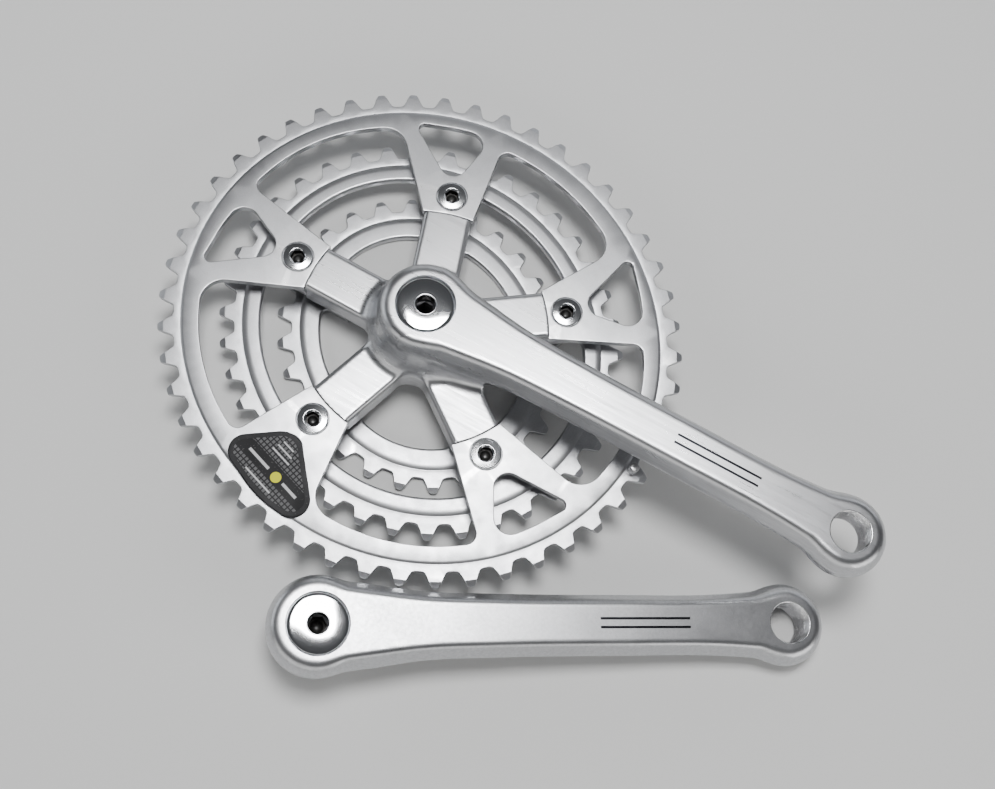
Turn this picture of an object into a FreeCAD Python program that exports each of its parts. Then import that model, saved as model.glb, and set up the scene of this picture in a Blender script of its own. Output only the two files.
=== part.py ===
import FreeCAD, Part
import math
import os

# Triple crankset: right arm with five-arm spider and three oval chainrings,
# and the separate left arm lying beside it. All lengths in millimetres.
# Row frame: the crank axis is +Z, the right arm runs along +X, and z = 0 is
# the back face of the right boss, where the square taper socket opens.

Vec = FreeCAD.Vector
doc = FreeCAD.newDocument("crankset")
sheet = doc.addObject("Spreadsheet::Sheet", "Sizes")

SIZES = [
    ("arm_length", 170.0),
    ("arm_flare", 3.2),
    ("right_boss_height", 41.0),
    ("left_boss_height", 27.5),
    ("boss_back_radius", 16.0),
    ("boss_radius", 17.8),
    ("boss_rim_radius", 14.6),
    ("pedal_end_radius", 14.9),
    ("pedal_rim_radius", 11.7),
    ("pedal_end_depth", 14.0),
    ("pedal_thread_radius", 7.14),
    ("pedal_chamfer_radius", 7.75),
    ("pedal_chamfer_depth", 0.7),
    ("taper_mouth_flats", 13.5),
    ("taper_slope", 0.0699),
    ("cap_bore_radius", 11.05),
    ("right_bore_depth", 19.0),
    ("left_bore_depth", 12.0),
    ("spider_back", 7.4),
    ("spider_front", 18.9),
    ("spider_reach", 47.0),
    ("spider_half_width", 9.25),
    ("spider_corner", 5.4),
    ("spider_cone_radius", 27.0),
    ("spider_cone_top", 26.5),
    ("tab_back", 10.6),
    ("tab_thickness", 5.0),
    ("tab_reach", 61.5),
    ("tab_half_width", 8.6),
    ("bolt_circle_radius", 55.0),
    ("small_circle_radius", 37.0),
    ("first_tab_angle", 36.0),
    ("tooth_pitch", 12.7),
    ("roller_radius", 3.95),
    ("tooth_addendum", 1.9),
    ("tooth_tip_half", 1.45),
    ("ring_thickness", 3.2),
    ("ring_step_depth", 0.45),
    ("outer_ring_back", 15.6),
    ("middle_ring_back", 7.4),
    ("inner_ring_back", -1.0),
    ("ring_bolt_hole", 5.05),
    ("ring_head_radius", 5.85),
    ("ring_head_seat", 6.1),
    ("ring_head_sink", 1.2),
    ("ring_head_proud", 0.75),
    ("ring_shank_radius", 3.9),
    ("ring_nut_flange", 1.2),
    ("small_head_radius", 5.6),
    ("small_head_height", 1.8),
    ("small_thread_depth", 8.0),
    ("spacer_radius", 6.0),
    ("badge_thickness", 1.3),
    ("guard_pin_radius", 1.8),
    ("guard_pin_height", 6.5),
    ("cap_radius", 11.05),
    ("cap_thickness", 4.2),
    ("cap_hole_radius", 3.5),
    ("bolt_float", 1.2),
    ("bolt_flange_radius", 10.2),
    ("bolt_flange_thickness", 2.2),
    ("bolt_head_radius", 7.2),
    ("bolt_shank_radius", 4.0),
    ("thrust_washer_thickness", 1.0),
    ("left_arm_turn", 29.8),
    ("left_arm_x", 21.5),
    ("left_arm_y", -116.8),
]
S = {}
for row, (alias, number) in enumerate(SIZES, 1):
    sheet.set("A%d" % row, alias)
    sheet.set("B%d" % row, str(number))
    sheet.setAlias("B%d" % row, alias)
    S[alias] = number
doc.recompute()

TABS = 5
TAB_STEP = 360.0 / TABS
TAB_ANGLES = [S["first_tab_angle"] + TAB_STEP * k for k in range(TABS)]

# Each ring: teeth, oval swing and long-axis angle of the pitch curve, angle
# of one tooth, rim inner edge (mean radius and swing), step below the pitch
# curve, tab end radius, tab half widths, side slopes and the corner radii.
RINGS = {
    "outer": dict(teeth=48, swing=2.7, axis=-16.5, phase=30.4, rim=84.0, rim_swing=3.4,
                  step=7.1, end=47.4, left=9.7, right=10.0, left_slope=0.46, right_slope=0.17,
                  left_round=9.0, right_round=4.0),
    "middle": dict(teeth=38, swing=3.3, axis=-28.0, phase=72.7, rim=63.2, rim_swing=3.4,
                   step=7.3, end=47.6, left=8.6, right=8.6, left_slope=0.0, right_slope=0.0,
                   left_round=3.0, right_round=3.0),
    "inner": dict(teeth=28, swing=3.5, axis=-36.0, phase=72.1, rim=41.6, rim_swing=3.2,
                  step=7.4, end=30.2, left=7.4, right=7.4, left_slope=0.0, right_slope=0.0,
                  left_round=2.5, right_round=2.5),
}


def polar(radius, degrees):
    a = math.radians(degrees)
    return Vec(radius * math.cos(a), radius * math.sin(a), 0)


def on_tab(u, v, degrees):
    """Point u outward and v sideways from a tab's centre line."""
    a = math.radians(degrees)
    return Vec(u * math.cos(a) - v * math.sin(a), u * math.sin(a) + v * math.cos(a), 0)


def toward(start, end, distance):
    step = end.sub(start)
    step.normalize()
    return start.add(step.multiply(distance))


def new_body(name):
    return doc.addObject("PartDesign::Body", name)


def sketch_on(body, name, role, offset, geometry):
    sk = body.newObject("Sketcher::SketchObject", name)
    plane = [f for f in body.Origin.OriginFeatures if f.Role == role][0]
    sk.AttachmentSupport = (plane, [""])
    sk.MapMode = "FlatFace"
    sk.AttachmentOffset = FreeCAD.Placement(offset, FreeCAD.Rotation())
    for item in geometry:
        sk.addGeometry(item, False)
    return sk


def loop(points):
    """Closed outline of straight edges."""
    return [Part.LineSegment(a, b) for a, b in zip(points, points[1:] + points[:1])]


def circle(x, y, radius):
    return Part.Circle(Vec(x, y, 0), Vec(0, 0, 1), radius)


def pad(body, name, role, offset, geometry, length, expression=""):
    sk = sketch_on(body, name + "_sketch", role, offset, geometry)
    feature = body.newObject("PartDesign::Pad", name)
    feature.Profile = sk
    feature.Length = length
    if expression:
        feature.setExpression("Length", expression)
    body.Tip = feature
    doc.recompute()
    return feature


def pocket(body, name, role, offset, geometry, length, expression=""):
    """Cut against the sketch normal, from the offset plane downwards."""
    sk = sketch_on(body, name + "_sketch", role, offset, geometry)
    feature = body.newObject("PartDesign::Pocket", name)
    feature.Profile = sk
    feature.Length = length
    if expression:
        feature.setExpression("Length", expression)
    body.Tip = feature
    doc.recompute()
    return feature


def turned(body, name, profile, x=0.0, cut=False):
    """Turn a profile of (radius, height) points about an upright axis at x."""
    points = [Vec(r, z, 0) for r, z in profile]
    sk = sketch_on(body, name + "_sketch", "XZ_Plane", Vec(x, 0, 0), loop(points))
    kind = "PartDesign::Groove" if cut else "PartDesign::Revolution"
    feature = body.newObject(kind, name)
    feature.Profile = sk
    feature.ReferenceAxis = (sk, ["V_Axis"])
    feature.Angle = 360.0
    body.Tip = feature
    doc.recompute()
    return feature


def hexagon(flats, x=0.0, y=0.0):
    corner = flats / math.sqrt(3.0)
    return loop([Vec(x, y, 0).add(polar(corner, 60.0 * k)) for k in range(6)])


def ring_radius(ring, mean, swing, degrees):
    return mean + swing * math.cos(2.0 * math.radians(degrees - ring["axis"]))


def pitch_angles(ring, mean):
    """Angles that divide the oval pitch curve into equal tooth pitches."""
    steps = 3600
    lengths = [0.0]
    before = polar(ring_radius(ring, mean, ring["swing"], ring["phase"]), ring["phase"])
    for k in range(1, steps + 1):
        degrees = ring["phase"] + 360.0 * k / steps
        here = polar(ring_radius(ring, mean, ring["swing"], degrees), degrees)
        lengths.append(lengths[-1] + here.sub(before).Length)
        before = here
    marks = ring["teeth"] * 2
    angles = []
    k = 0
    for mark in range(marks):
        target = lengths[-1] * mark / marks
        while lengths[k + 1] < target:
            k += 1
        part = (target - lengths[k]) / (lengths[k + 1] - lengths[k])
        angles.append(ring["phase"] + 360.0 * (k + part) / steps)
    return angles


def tooth_outline(ring, mean):
    """Tips and roller seats round the oval, as short arcs and flanks."""
    angles = pitch_angles(ring, mean)
    swing = ring["swing"]
    items = []
    corners = []
    for k, degrees in enumerate(angles):
        centre = polar(ring_radius(ring, mean, swing, degrees), degrees)
        ahead = polar(ring_radius(ring, mean, swing, degrees + 0.5), degrees + 0.5)
        along = ahead.sub(centre)
        along.normalize()
        out = Vec(along.y, -along.x, 0)
        if k % 2 == 0:
            half = S["tooth_tip_half"]
            shoulder = S["tooth_addendum"] - 0.6
            first = centre.add(along * -half).add(out * shoulder)
            last = centre.add(along * half).add(out * shoulder)
            top = centre.add(out * S["tooth_addendum"])
        else:
            reach = S["roller_radius"] * math.sin(math.radians(60.0))
            drop = S["roller_radius"] * math.cos(math.radians(60.0))
            first = centre.add(along * -reach).add(out * -drop)
            last = centre.add(along * reach).add(out * -drop)
            top = centre.add(out * -S["roller_radius"])
        items.append(Part.Arc(first, top, last))
        corners.append((first, last))
    for (a, b), (c, d) in zip(corners, corners[1:] + corners[:1]):
        items.append(Part.LineSegment(b, c))
    return items


def round_corner(corner, before, after, radius):
    """Arc that rounds a corner between two nearly straight edges."""
    one = before.sub(corner)
    two = after.sub(corner)
    half = one.getAngle(two) / 2.0
    run = min(radius / math.tan(half), one.Length * 0.8, two.Length * 0.8)
    radius = run * math.tan(half)
    one.normalize()
    two.normalize()
    middle = one.add(two)
    middle.normalize()
    start = corner.add(one * run)
    end = corner.add(two * run)
    mid = corner.add(middle * (radius / math.sin(half) - radius))
    return start, mid, end


def rim_crossing(ring, width, slope, side, tab):
    """Where a tab side meets the oval rim edge."""
    low = ring["end"]
    high = ring["end"] + 60.0
    for _ in range(40):
        u = (low + high) / 2.0
        point = on_tab(u, side * (width + slope * (u - ring["end"])), tab)
        degrees = math.degrees(math.atan2(point.y, point.x))
        if point.Length < ring_radius(ring, ring["rim"], ring["rim_swing"], degrees):
            low = u
        else:
            high = u
    return point, degrees


def rim_point(ring, degrees):
    return polar(ring_radius(ring, ring["rim"], ring["rim_swing"], degrees), degrees)


def inner_outline(ring):
    """Inside edge of a ring: tab ends, tab sides and the rim between them."""
    items = []
    pieces = []
    end_u = ring["end"] - 0.9
    for tab in TAB_ANGLES:
        right_end = on_tab(end_u, -ring["right"], tab)
        left_end = on_tab(end_u, ring["left"], tab)
        nose = on_tab(ring["end"], 0.0, tab)
        left_rim, left_degrees = rim_crossing(ring, ring["left"], ring["left_slope"], 1.0, tab)
        following = tab + TAB_STEP
        right_rim, right_degrees = rim_crossing(ring, ring["right"], ring["right_slope"], -1.0,
                                                following)
        next_end = on_tab(end_u, -ring["right"], following)
        span = (right_degrees - left_degrees) % 360.0
        one = round_corner(left_rim, left_end, rim_point(ring, left_degrees + 12.0),
                           ring["left_round"])
        two = round_corner(right_rim, rim_point(ring, right_degrees - 12.0), next_end,
                           ring["right_round"])
        middle = rim_point(ring, left_degrees + span / 2.0)
        items.append(Part.Arc(right_end, nose, left_end))
        items.append(Part.LineSegment(left_end, one[0]))
        items.append(Part.Arc(*one))
        items.append(Part.Arc(one[2], middle, two[0]))
        items.append(Part.Arc(*two))
        items.append(Part.LineSegment(two[2], next_end))
        pieces.append((one, two))
    return items


def oval(ring, mean, swing):
    curve = Part.BSplineCurve()
    points = [polar(ring_radius(ring, mean, swing, 10.0 * k), 10.0 * k) for k in range(36)]
    curve.interpolate(points, PeriodicFlag=True)
    return curve


def rounded_outline(corners, radii):
    """Arcs and lines of an outline given by its sharp corners and their radii."""
    arcs = []
    for k, radius in enumerate(radii):
        arcs.append(round_corner(corners[k], corners[k - 1], corners[(k + 1) % len(corners)], radius))
    items = []
    for k, arc in enumerate(arcs):
        items.append(Part.Arc(*arc))
        items.append(Part.LineSegment(arc[2], arcs[(k + 1) % len(arcs)][0]))
    return items


def tab_hole(tab, shrink=0.0):
    """Rounded three-cornered opening in a wide tab of the outer ring, with a bowed outer side."""
    ring = RINGS["outer"]
    reach = ring_radius(ring, 85.2, 1.5, tab + 3.0)
    corners = [on_tab(59.3 + 1.9 * shrink, 1.1 + 0.2 * shrink, tab),
               on_tab(reach - 0.6 - shrink, 1.56 * shrink - 11.2, tab),
               on_tab(reach + 0.1 - shrink, 4.0, tab),
               on_tab(reach - 1.0 - shrink, 21.0 - 2.0 * shrink, tab)]
    return rounded_outline(corners, (5.5 - shrink, 6.0 - shrink, 60.0, 2.4 - shrink))


def build_ring(name, ring, back, holes, hole_radius, seat, seat_radius, seat_from_top):
    mean = ring["teeth"] * S["tooth_pitch"] / (2.0 * math.pi)
    thick = S["ring_thickness"]
    body = new_body(name)
    pad(body, name + "_blank", "XY_Plane", Vec(0, 0, back), tooth_outline(ring, mean),
        thick, "Sizes.ring_thickness")
    pocket(body, name + "_inside", "XY_Plane", Vec(0, 0, back + thick), inner_outline(ring),
           thick, "Sizes.ring_thickness")
    band = [oval(ring, mean - ring["step"], ring["swing"]), circle(0, 0, mean + 20.0)]
    pocket(body, name + "_step", "XY_Plane", Vec(0, 0, back + thick), band,
           S["ring_step_depth"], "Sizes.ring_step_depth")
    points = [polar(holes, tab) for tab in TAB_ANGLES]
    pocket(body, name + "_bolt_holes", "XY_Plane", Vec(0, 0, back + thick),
           [circle(p.x, p.y, hole_radius) for p in points], thick)
    if seat > 0.0:
        top = back + thick if seat_from_top else back + seat
        pocket(body, name + "_seats", "XY_Plane", Vec(0, 0, top),
               [circle(p.x, p.y, seat_radius) for p in points], seat)
    return body


def arm_sections(height, hub_depth):
    """Cross sections of an arm: place, top half width, widest half width,
    depth of the widest line, depth of the underside and its half width."""
    return [
        (0.0, 14.2, 17.6, 9.0, hub_depth, 15.5),
        (18.0, 11.9, 15.6, 8.6, hub_depth - 1.0, 12.6),
        (36.0, 9.9, 12.9, 8.2, 12.6 + (hub_depth - 12.6) * 0.42, 9.3),
        (62.0, 9.0, 11.8, 8.0, 13.2, 7.8),
        (105.0, 8.7, 11.4, 7.8, 12.6, 7.4),
        (146.0, 9.0, 11.7, 7.4, 12.6, 7.6),
        (163.0, 10.0, 13.0, 6.8, 12.9, 9.0),
    ]


def build_arm(name, height, bore_depth, hub_depth, spider):
    body = new_body(name)
    back = S["boss_back_radius"]
    radius = S["boss_radius"]
    rim = S["boss_rim_radius"]
    profile = [(0.0, 0.0), (back - 0.8, 0.0), (back, 0.8)]
    if spider:
        profile += [
            (back + 0.6, S["spider_back"]),
            (S["spider_reach"], S["spider_back"]),
            (S["spider_reach"], S["spider_front"]),
            (S["spider_cone_radius"], S["spider_front"] + 0.4),
            (22.5, 21.6),
            (19.6, S["spider_cone_top"]),
        ]
    profile += [
        (radius, height - 11.0),
        (radius - 0.6, height - 5.0),
        (rim + 1.0, height - 0.9),
        (rim, height),
        (0.0, height),
    ]
    turned(body, name + "_boss", profile)
    if spider:
        corner = S["spider_corner"]
        half = S["spider_half_width"]
        lead = (half + corner) / math.sin(math.radians(TAB_STEP / 2.0))
        windows = []
        for tab in TAB_ANGLES:
            middle = tab + TAB_STEP / 2.0
            centre = polar(lead, middle)
            first = centre.add(on_tab(0.0, -corner, tab))
            last = centre.add(on_tab(0.0, corner, tab + TAB_STEP))
            nearest = polar(lead - corner, middle)
            reach = S["spider_reach"] + 6.0
            far_first = on_tab(reach, half, tab)
            far_last = on_tab(reach, -half, tab + TAB_STEP)
            windows.append(Part.Arc(first, nearest, last))
            windows.append(Part.LineSegment(first, far_first))
            windows.append(Part.Arc(far_first, polar(reach + 1.0, middle), far_last))
            windows.append(Part.LineSegment(far_last, last))
        top = S["spider_cone_top"]
        pocket(body, name + "_windows", "XY_Plane", Vec(0, 0, top), windows, top - 1.0)
        tabs = []
        for tab in TAB_ANGLES:
            half = S["tab_half_width"]
            reach = S["tab_reach"]
            ends = [on_tab(44.0, -half, tab), on_tab(reach - 4.5, -half, tab),
                    on_tab(reach, -half + 4.5, tab), on_tab(reach, half - 4.5, tab),
                    on_tab(reach - 4.5, half, tab), on_tab(44.0, half, tab)]
            tabs += loop(ends)
        pad(body, name + "_tabs", "XY_Plane", Vec(0, 0, S["tab_back"]), tabs,
            S["tab_thickness"], "Sizes.tab_thickness")
    profiles = []
    for k, (x, top, wide, wide_depth, depth, under) in enumerate(arm_sections(height, hub_depth)):
        face = height + S["arm_flare"] * x / S["arm_length"]
        outline = [(top, face - 0.7), (wide, face - wide_depth), (wide - 0.5, face - wide_depth - 2.0),
                   (under, face - depth), (-under, face - depth),
                   (0.5 - wide, face - wide_depth - 2.0), (-wide, face - wide_depth),
                   (-top, face - 0.7), (0.8 - top, face), (top - 0.8, face)]
        points = [Vec(y, z, 0) for y, z in outline]
        profiles.append(sketch_on(body, "%s_section_%d" % (name, k + 1), "YZ_Plane",
                                  Vec(0, 0, x), loop(points)))
    blade = body.newObject("PartDesign::AdditiveLoft", name + "_blade")
    blade.Profile = profiles[0]
    blade.Sections = profiles[1:]
    blade.Ruled = False
    blade.Refine = False
    body.Tip = blade
    doc.recompute()
    face = height + S["arm_flare"]
    radius = S["pedal_end_radius"]
    depth = S["pedal_end_depth"]
    turned(body, name + "_pedal_end",
           [(0.0, face), (S["pedal_rim_radius"] - 0.8, face), (S["pedal_rim_radius"], face - 0.6),
            (radius, face - 6.6), (radius, face - 8.4), (radius - 1.6, face - 12.4),
            (radius - 3.4, face - depth), (0.0, face - depth)], S["arm_length"])
    pocket(body, name + "_pedal_thread", "XY_Plane", Vec(0, 0, face),
           [circle(S["arm_length"], 0.0, S["pedal_thread_radius"])], depth,
           "Sizes.pedal_end_depth")
    flare = S["pedal_chamfer_radius"]
    cut = S["pedal_chamfer_depth"]
    thread = S["pedal_thread_radius"]
    turned(body, name + "_pedal_chamfer",
           [(thread - 1.0, face + 0.5), (flare, face + 0.5), (flare, face),
            (thread, face - cut), (thread - 1.0, face - cut)], S["arm_length"], True)
    bore = S["cap_bore_radius"]
    turned(body, name + "_cap_bore",
           [(0.0, height + 1.0), (bore + 0.6, height + 1.0), (bore + 0.6, height),
            (bore, height - 0.6), (bore, height - bore_depth), (0.0, height - bore_depth)],
           0.0, True)
    mouth = S["taper_mouth_flats"] / 2.0
    deep = height - bore_depth + 0.5
    squares = []
    for level, half in ((0.0, mouth), (deep, mouth - deep * S["taper_slope"] / 2.0)):
        clip = half * 0.3
        ring = []
        for sx, sy in ((1, 1), (-1, 1), (-1, -1), (1, -1)):
            one = Vec(sx * half, sy * (half - clip), 0)
            two = Vec(sx * (half - clip), sy * half, 0)
            ring += [one, two] if sx * sy > 0 else [two, one]
        squares.append(sketch_on(body, "%s_square_%d" % (name, int(level)), "XY_Plane",
                                 Vec(0, 0, level), loop(ring)))
    socket = body.newObject("PartDesign::SubtractiveLoft", name + "_taper_socket")
    socket.Profile = squares[0]
    socket.Sections = squares[1:]
    socket.Ruled = True
    body.Tip = socket
    doc.recompute()
    if spider:
        holes = [polar(S["bolt_circle_radius"], tab) for tab in TAB_ANGLES]
        top = S["tab_back"] + S["tab_thickness"]
        pocket(body, name + "_tab_holes", "XY_Plane", Vec(0, 0, top),
               [circle(p.x, p.y, S["ring_bolt_hole"]) for p in holes], S["tab_thickness"],
               "Sizes.tab_thickness")
        small = [polar(S["small_circle_radius"], tab) for tab in TAB_ANGLES]
        top = S["spider_back"] + S["small_thread_depth"]
        pocket(body, name + "_small_ring_holes", "XY_Plane", Vec(0, 0, top),
               [circle(p.x, p.y, S["bolt_shank_radius"]) for p in small],
               S["small_thread_depth"], "Sizes.small_thread_depth")
    return body


nodes = {}
right_shoulder = S["right_boss_height"] - S["right_bore_depth"]
left_shoulder = S["left_boss_height"] - S["left_bore_depth"]

nodes["right_crank_arm"] = build_arm("right_crank_arm", S["right_boss_height"],
                                     S["right_bore_depth"], 22.0, True)
nodes["left_crank_arm"] = build_arm("left_crank_arm", S["left_boss_height"],
                                    S["left_bore_depth"], 20.0, False)

nodes["outer_chainring"] = build_ring(
    "outer_chainring", RINGS["outer"], S["outer_ring_back"], S["bolt_circle_radius"],
    S["ring_bolt_hole"], S["ring_head_sink"], S["ring_head_seat"], True)
openings = []
for tab in TAB_ANGLES:
    openings += tab_hole(tab)
pocket(nodes["outer_chainring"], "outer_chainring_openings", "XY_Plane",
       Vec(0, 0, S["outer_ring_back"] + S["ring_thickness"]), openings, S["ring_thickness"],
       "Sizes.ring_thickness")
nodes["middle_chainring"] = build_ring(
    "middle_chainring", RINGS["middle"], S["middle_ring_back"], S["bolt_circle_radius"],
    S["ring_bolt_hole"], 0.0, 0.0, True)
nodes["inner_chainring"] = build_ring(
    "inner_chainring", RINGS["inner"], S["inner_ring_back"], S["small_circle_radius"],
    S["bolt_shank_radius"] + 0.15, S["small_head_height"] + 0.1, S["small_head_radius"] + 0.2,
    False)

outer_front = S["outer_ring_back"] + S["ring_thickness"]
for index, tab in enumerate(TAB_ANGLES, 1):
    turn = FreeCAD.Rotation(Vec(0, 0, 1), tab)
    at_bolt = FreeCAD.Placement(polar(S["bolt_circle_radius"], tab), turn)
    at_small = FreeCAD.Placement(polar(S["small_circle_radius"], tab), turn)

    name = "chainring_bolt_%d" % index
    body = new_body(name)
    seat = outer_front - S["ring_head_sink"]
    crown = outer_front + S["ring_head_proud"]
    head = S["ring_head_radius"]
    shank = S["ring_shank_radius"]
    turned(body, name + "_turned",
           [(0.0, 9.2), (shank - 0.4, 9.2), (shank, 9.6), (shank, seat), (head, seat),
            (head, crown - 0.5), (head - 0.5, crown), (head - 1.4, crown), (head - 2.1, crown - 0.7),
            (0.0, crown - 0.7)])
    pocket(body, name + "_hex", "XY_Plane", Vec(0, 0, crown - 0.7), hexagon(5.0), 3.2)
    body.Placement = at_bolt
    nodes[name] = body

    name = "chainring_nut_%d" % index
    body = new_body(name)
    low = S["middle_ring_back"] - S["ring_nut_flange"]
    sleeve = S["ring_bolt_hole"] - 0.1
    turned(body, name + "_turned",
           [(shank, low), (head - 0.4, low), (head, low + 0.4), (head, S["middle_ring_back"]),
            (sleeve, S["middle_ring_back"]), (sleeve, seat - 0.4), (shank, seat - 0.4)])
    slot = 0.8
    pocket(body, name + "_slot", "XY_Plane", Vec(0, 0, low + slot),
           loop([Vec(-8, -0.8, 0), Vec(8, -0.8, 0), Vec(8, 0.8, 0), Vec(-8, 0.8, 0)]), slot)
    body.Placement = at_bolt
    nodes[name] = body

    name = "inner_ring_bolt_%d" % index
    body = new_body(name)
    low = S["inner_ring_back"]
    head = S["small_head_radius"]
    shank = S["bolt_shank_radius"] - 0.05
    tip = S["spider_back"] + S["small_thread_depth"] - 1.5
    turned(body, name + "_turned",
           [(0.0, low), (head - 0.4, low), (head, low + 0.4), (head, low + S["small_head_height"]),
            (shank, low + S["small_head_height"]), (shank, tip - 0.5), (shank - 0.5, tip),
            (0.0, tip)])
    pocket(body, name + "_hex", "XY_Plane", Vec(0, 0, low + 3.0), hexagon(5.0), 3.0)
    body.Placement = at_small
    nodes[name] = body

    name = "inner_ring_spacer_%d" % index
    body = new_body(name)
    low = S["inner_ring_back"] + S["ring_thickness"]
    pad(body, name + "_sleeve", "XY_Plane", Vec(0, 0, low),
        [circle(0, 0, S["spacer_radius"]), circle(0, 0, S["bolt_shank_radius"] + 0.15)],
        S["spider_back"] - low)
    body.Placement = at_small
    nodes[name] = body

# Badge: a plate on the face of the ring with a plug into the tab opening.
badge_tab = TAB_ANGLES[3]
plate = rounded_outline([on_tab(61.1, 0.3, badge_tab), on_tab(85.6, -18.3, badge_tab),
                         on_tab(88.9, 9.0, badge_tab), on_tab(83.2, 34.6, badge_tab)],
                        (8.0, 6.2, 40.0, 6.5))
badge = new_body("chainring_badge")
pad(badge, "badge_plate", "XY_Plane", Vec(0, 0, outer_front), plate, S["badge_thickness"],
    "Sizes.badge_thickness")
pad(badge, "badge_plug", "XY_Plane", Vec(0, 0, outer_front - 1.6), tab_hole(badge_tab, 0.5), 1.8)
nodes["chainring_badge"] = badge

pin = new_body("chain_guard_pin")
pin_at = polar(95.2, -6.6)
pin_radius = S["guard_pin_radius"]
pin_foot = outer_front - S["ring_step_depth"]
turned(pin, "pin_turned",
       [(0.0, pin_foot), (pin_radius, pin_foot), (pin_radius, pin_foot + S["guard_pin_height"] - 0.5),
        (pin_radius - 0.5, pin_foot + S["guard_pin_height"]),
        (0.0, pin_foot + S["guard_pin_height"])])
pin.Placement = FreeCAD.Placement(pin_at, FreeCAD.Rotation())
nodes["chain_guard_pin"] = pin


def build_fixing(side, height, shoulder, shank_length, cap_rise):
    """Extractor cap, crank bolt and thrust washer of one arm."""
    top = height + cap_rise
    cap = new_body(side + "_extractor_cap")
    radius = S["cap_radius"]
    hole = S["cap_hole_radius"]
    thick = S["cap_thickness"]
    turned(cap, side + "_cap_turned",
           [(hole, top - thick), (radius, top - thick), (radius, top - 1.4), (radius - 0.7, top - 0.9),
            (radius - 0.7, top - 0.6), (radius - 1.0, top - 0.4), (hole + 0.75, top - 0.05),
            (hole + 0.55, top + 0.1), (hole + 0.25, top + 0.1), (hole, top - 0.25)])
    washer = new_body(side + "_thrust_washer")
    washer_top = top - thick - S["bolt_float"]
    washer_low = washer_top - S["thrust_washer_thickness"]
    bolt = new_body(side + "_crank_bolt")
    flange = S["bolt_flange_radius"]
    flange_top = shoulder + S["bolt_flange_thickness"]
    head = S["bolt_head_radius"]
    shank = S["bolt_shank_radius"]
    tip = shoulder - shank_length
    crown = washer_low - 0.05
    turned(bolt, side + "_bolt_turned",
           [(0.0, tip), (shank - 0.7, tip), (shank, tip + 0.8), (shank, shoulder), (flange, shoulder),
            (flange, flange_top), (head + 0.4, flange_top), (head, flange_top + 0.4), (head, crown - 0.4),
            (head - 0.4, crown), (0.0, crown)])
    pocket(bolt, side + "_bolt_hex", "XY_Plane", Vec(0, 0, crown), hexagon(6.0),
           min(5.0, crown - shoulder + 1.0))
    pad(washer, side + "_washer_ring", "XY_Plane", Vec(0, 0, washer_low),
        [circle(0, 0, radius - 1.0), circle(0, 0, 4.3)], S["thrust_washer_thickness"],
        "Sizes.thrust_washer_thickness")
    nodes[cap.Name] = cap
    nodes[bolt.Name] = bolt
    nodes[washer.Name] = washer
    return [cap, bolt, washer]


build_fixing("right", S["right_boss_height"], right_shoulder, 14.0, -0.5)
left_set = build_fixing("left", S["left_boss_height"], left_shoulder, 10.0, 0.3)

# The left arm lies on the edge of its boss and on the underside of its pedal end.
contact_x = S["arm_length"] + S["pedal_end_radius"] - 3.4
contact_z = S["left_boss_height"] + S["arm_flare"] - S["pedal_end_depth"]
boss_edge = S["boss_back_radius"] - 0.8
lean = math.degrees(math.atan2(contact_z, contact_x - boss_edge))
lift = S["inner_ring_back"] + boss_edge * math.sin(math.radians(lean))
turn = FreeCAD.Rotation(Vec(0, 0, 1), S["left_arm_turn"])
left_place = FreeCAD.Placement(Vec(S["left_arm_x"], S["left_arm_y"], lift),
                               turn.multiply(FreeCAD.Rotation(Vec(0, 1, 0), lean)))
for body in left_set + [nodes["left_crank_arm"]]:
    body.Placement = left_place

doc.recompute()
for item in doc.Objects:
    for state in item.State:
        if state in ("Invalid", "Error"):
            raise RuntimeError(item.Name + " did not rebuild: " + state)
for name, body in nodes.items():
    if body.Shape.isNull() or not body.Shape.isValid() or len(body.Shape.Solids) != 1:
        raise RuntimeError(name + " is not one valid solid")

os.makedirs("parts", exist_ok=True)
for name, body in nodes.items():
    body.Shape.exportStep(os.path.join("parts", name + ".step"))
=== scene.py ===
"""Triple bicycle crankset: a right arm with spider and three oval chainrings, and a loose left arm.

Lengths are in millimetres in the row frame and become metres when a mesh is made.
The crank axis is +Z, the right arm runs along +X, and the bench top is at z = -1.
"""

import math

import bpy
import numpy as np
from mathutils import Matrix, Vector
from mathutils.geometry import delaunay_2d_cdt


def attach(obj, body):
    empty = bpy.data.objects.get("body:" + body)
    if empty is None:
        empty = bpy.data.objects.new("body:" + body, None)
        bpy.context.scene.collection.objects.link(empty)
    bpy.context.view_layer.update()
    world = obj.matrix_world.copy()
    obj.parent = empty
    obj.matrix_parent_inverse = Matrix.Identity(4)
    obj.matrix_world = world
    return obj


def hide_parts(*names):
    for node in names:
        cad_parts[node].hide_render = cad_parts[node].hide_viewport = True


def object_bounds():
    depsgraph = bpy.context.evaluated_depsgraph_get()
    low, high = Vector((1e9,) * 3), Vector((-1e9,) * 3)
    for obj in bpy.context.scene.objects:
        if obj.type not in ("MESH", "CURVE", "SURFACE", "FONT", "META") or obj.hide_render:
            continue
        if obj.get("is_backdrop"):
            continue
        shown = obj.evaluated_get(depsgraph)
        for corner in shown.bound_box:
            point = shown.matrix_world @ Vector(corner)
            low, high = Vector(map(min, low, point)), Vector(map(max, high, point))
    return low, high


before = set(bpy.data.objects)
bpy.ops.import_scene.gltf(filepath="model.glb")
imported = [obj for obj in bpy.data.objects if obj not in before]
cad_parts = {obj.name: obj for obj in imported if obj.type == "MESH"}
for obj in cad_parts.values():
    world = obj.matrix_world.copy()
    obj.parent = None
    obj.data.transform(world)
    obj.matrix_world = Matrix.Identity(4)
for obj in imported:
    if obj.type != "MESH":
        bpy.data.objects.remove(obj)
cad_low, cad_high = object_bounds()

MM = 0.001

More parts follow.
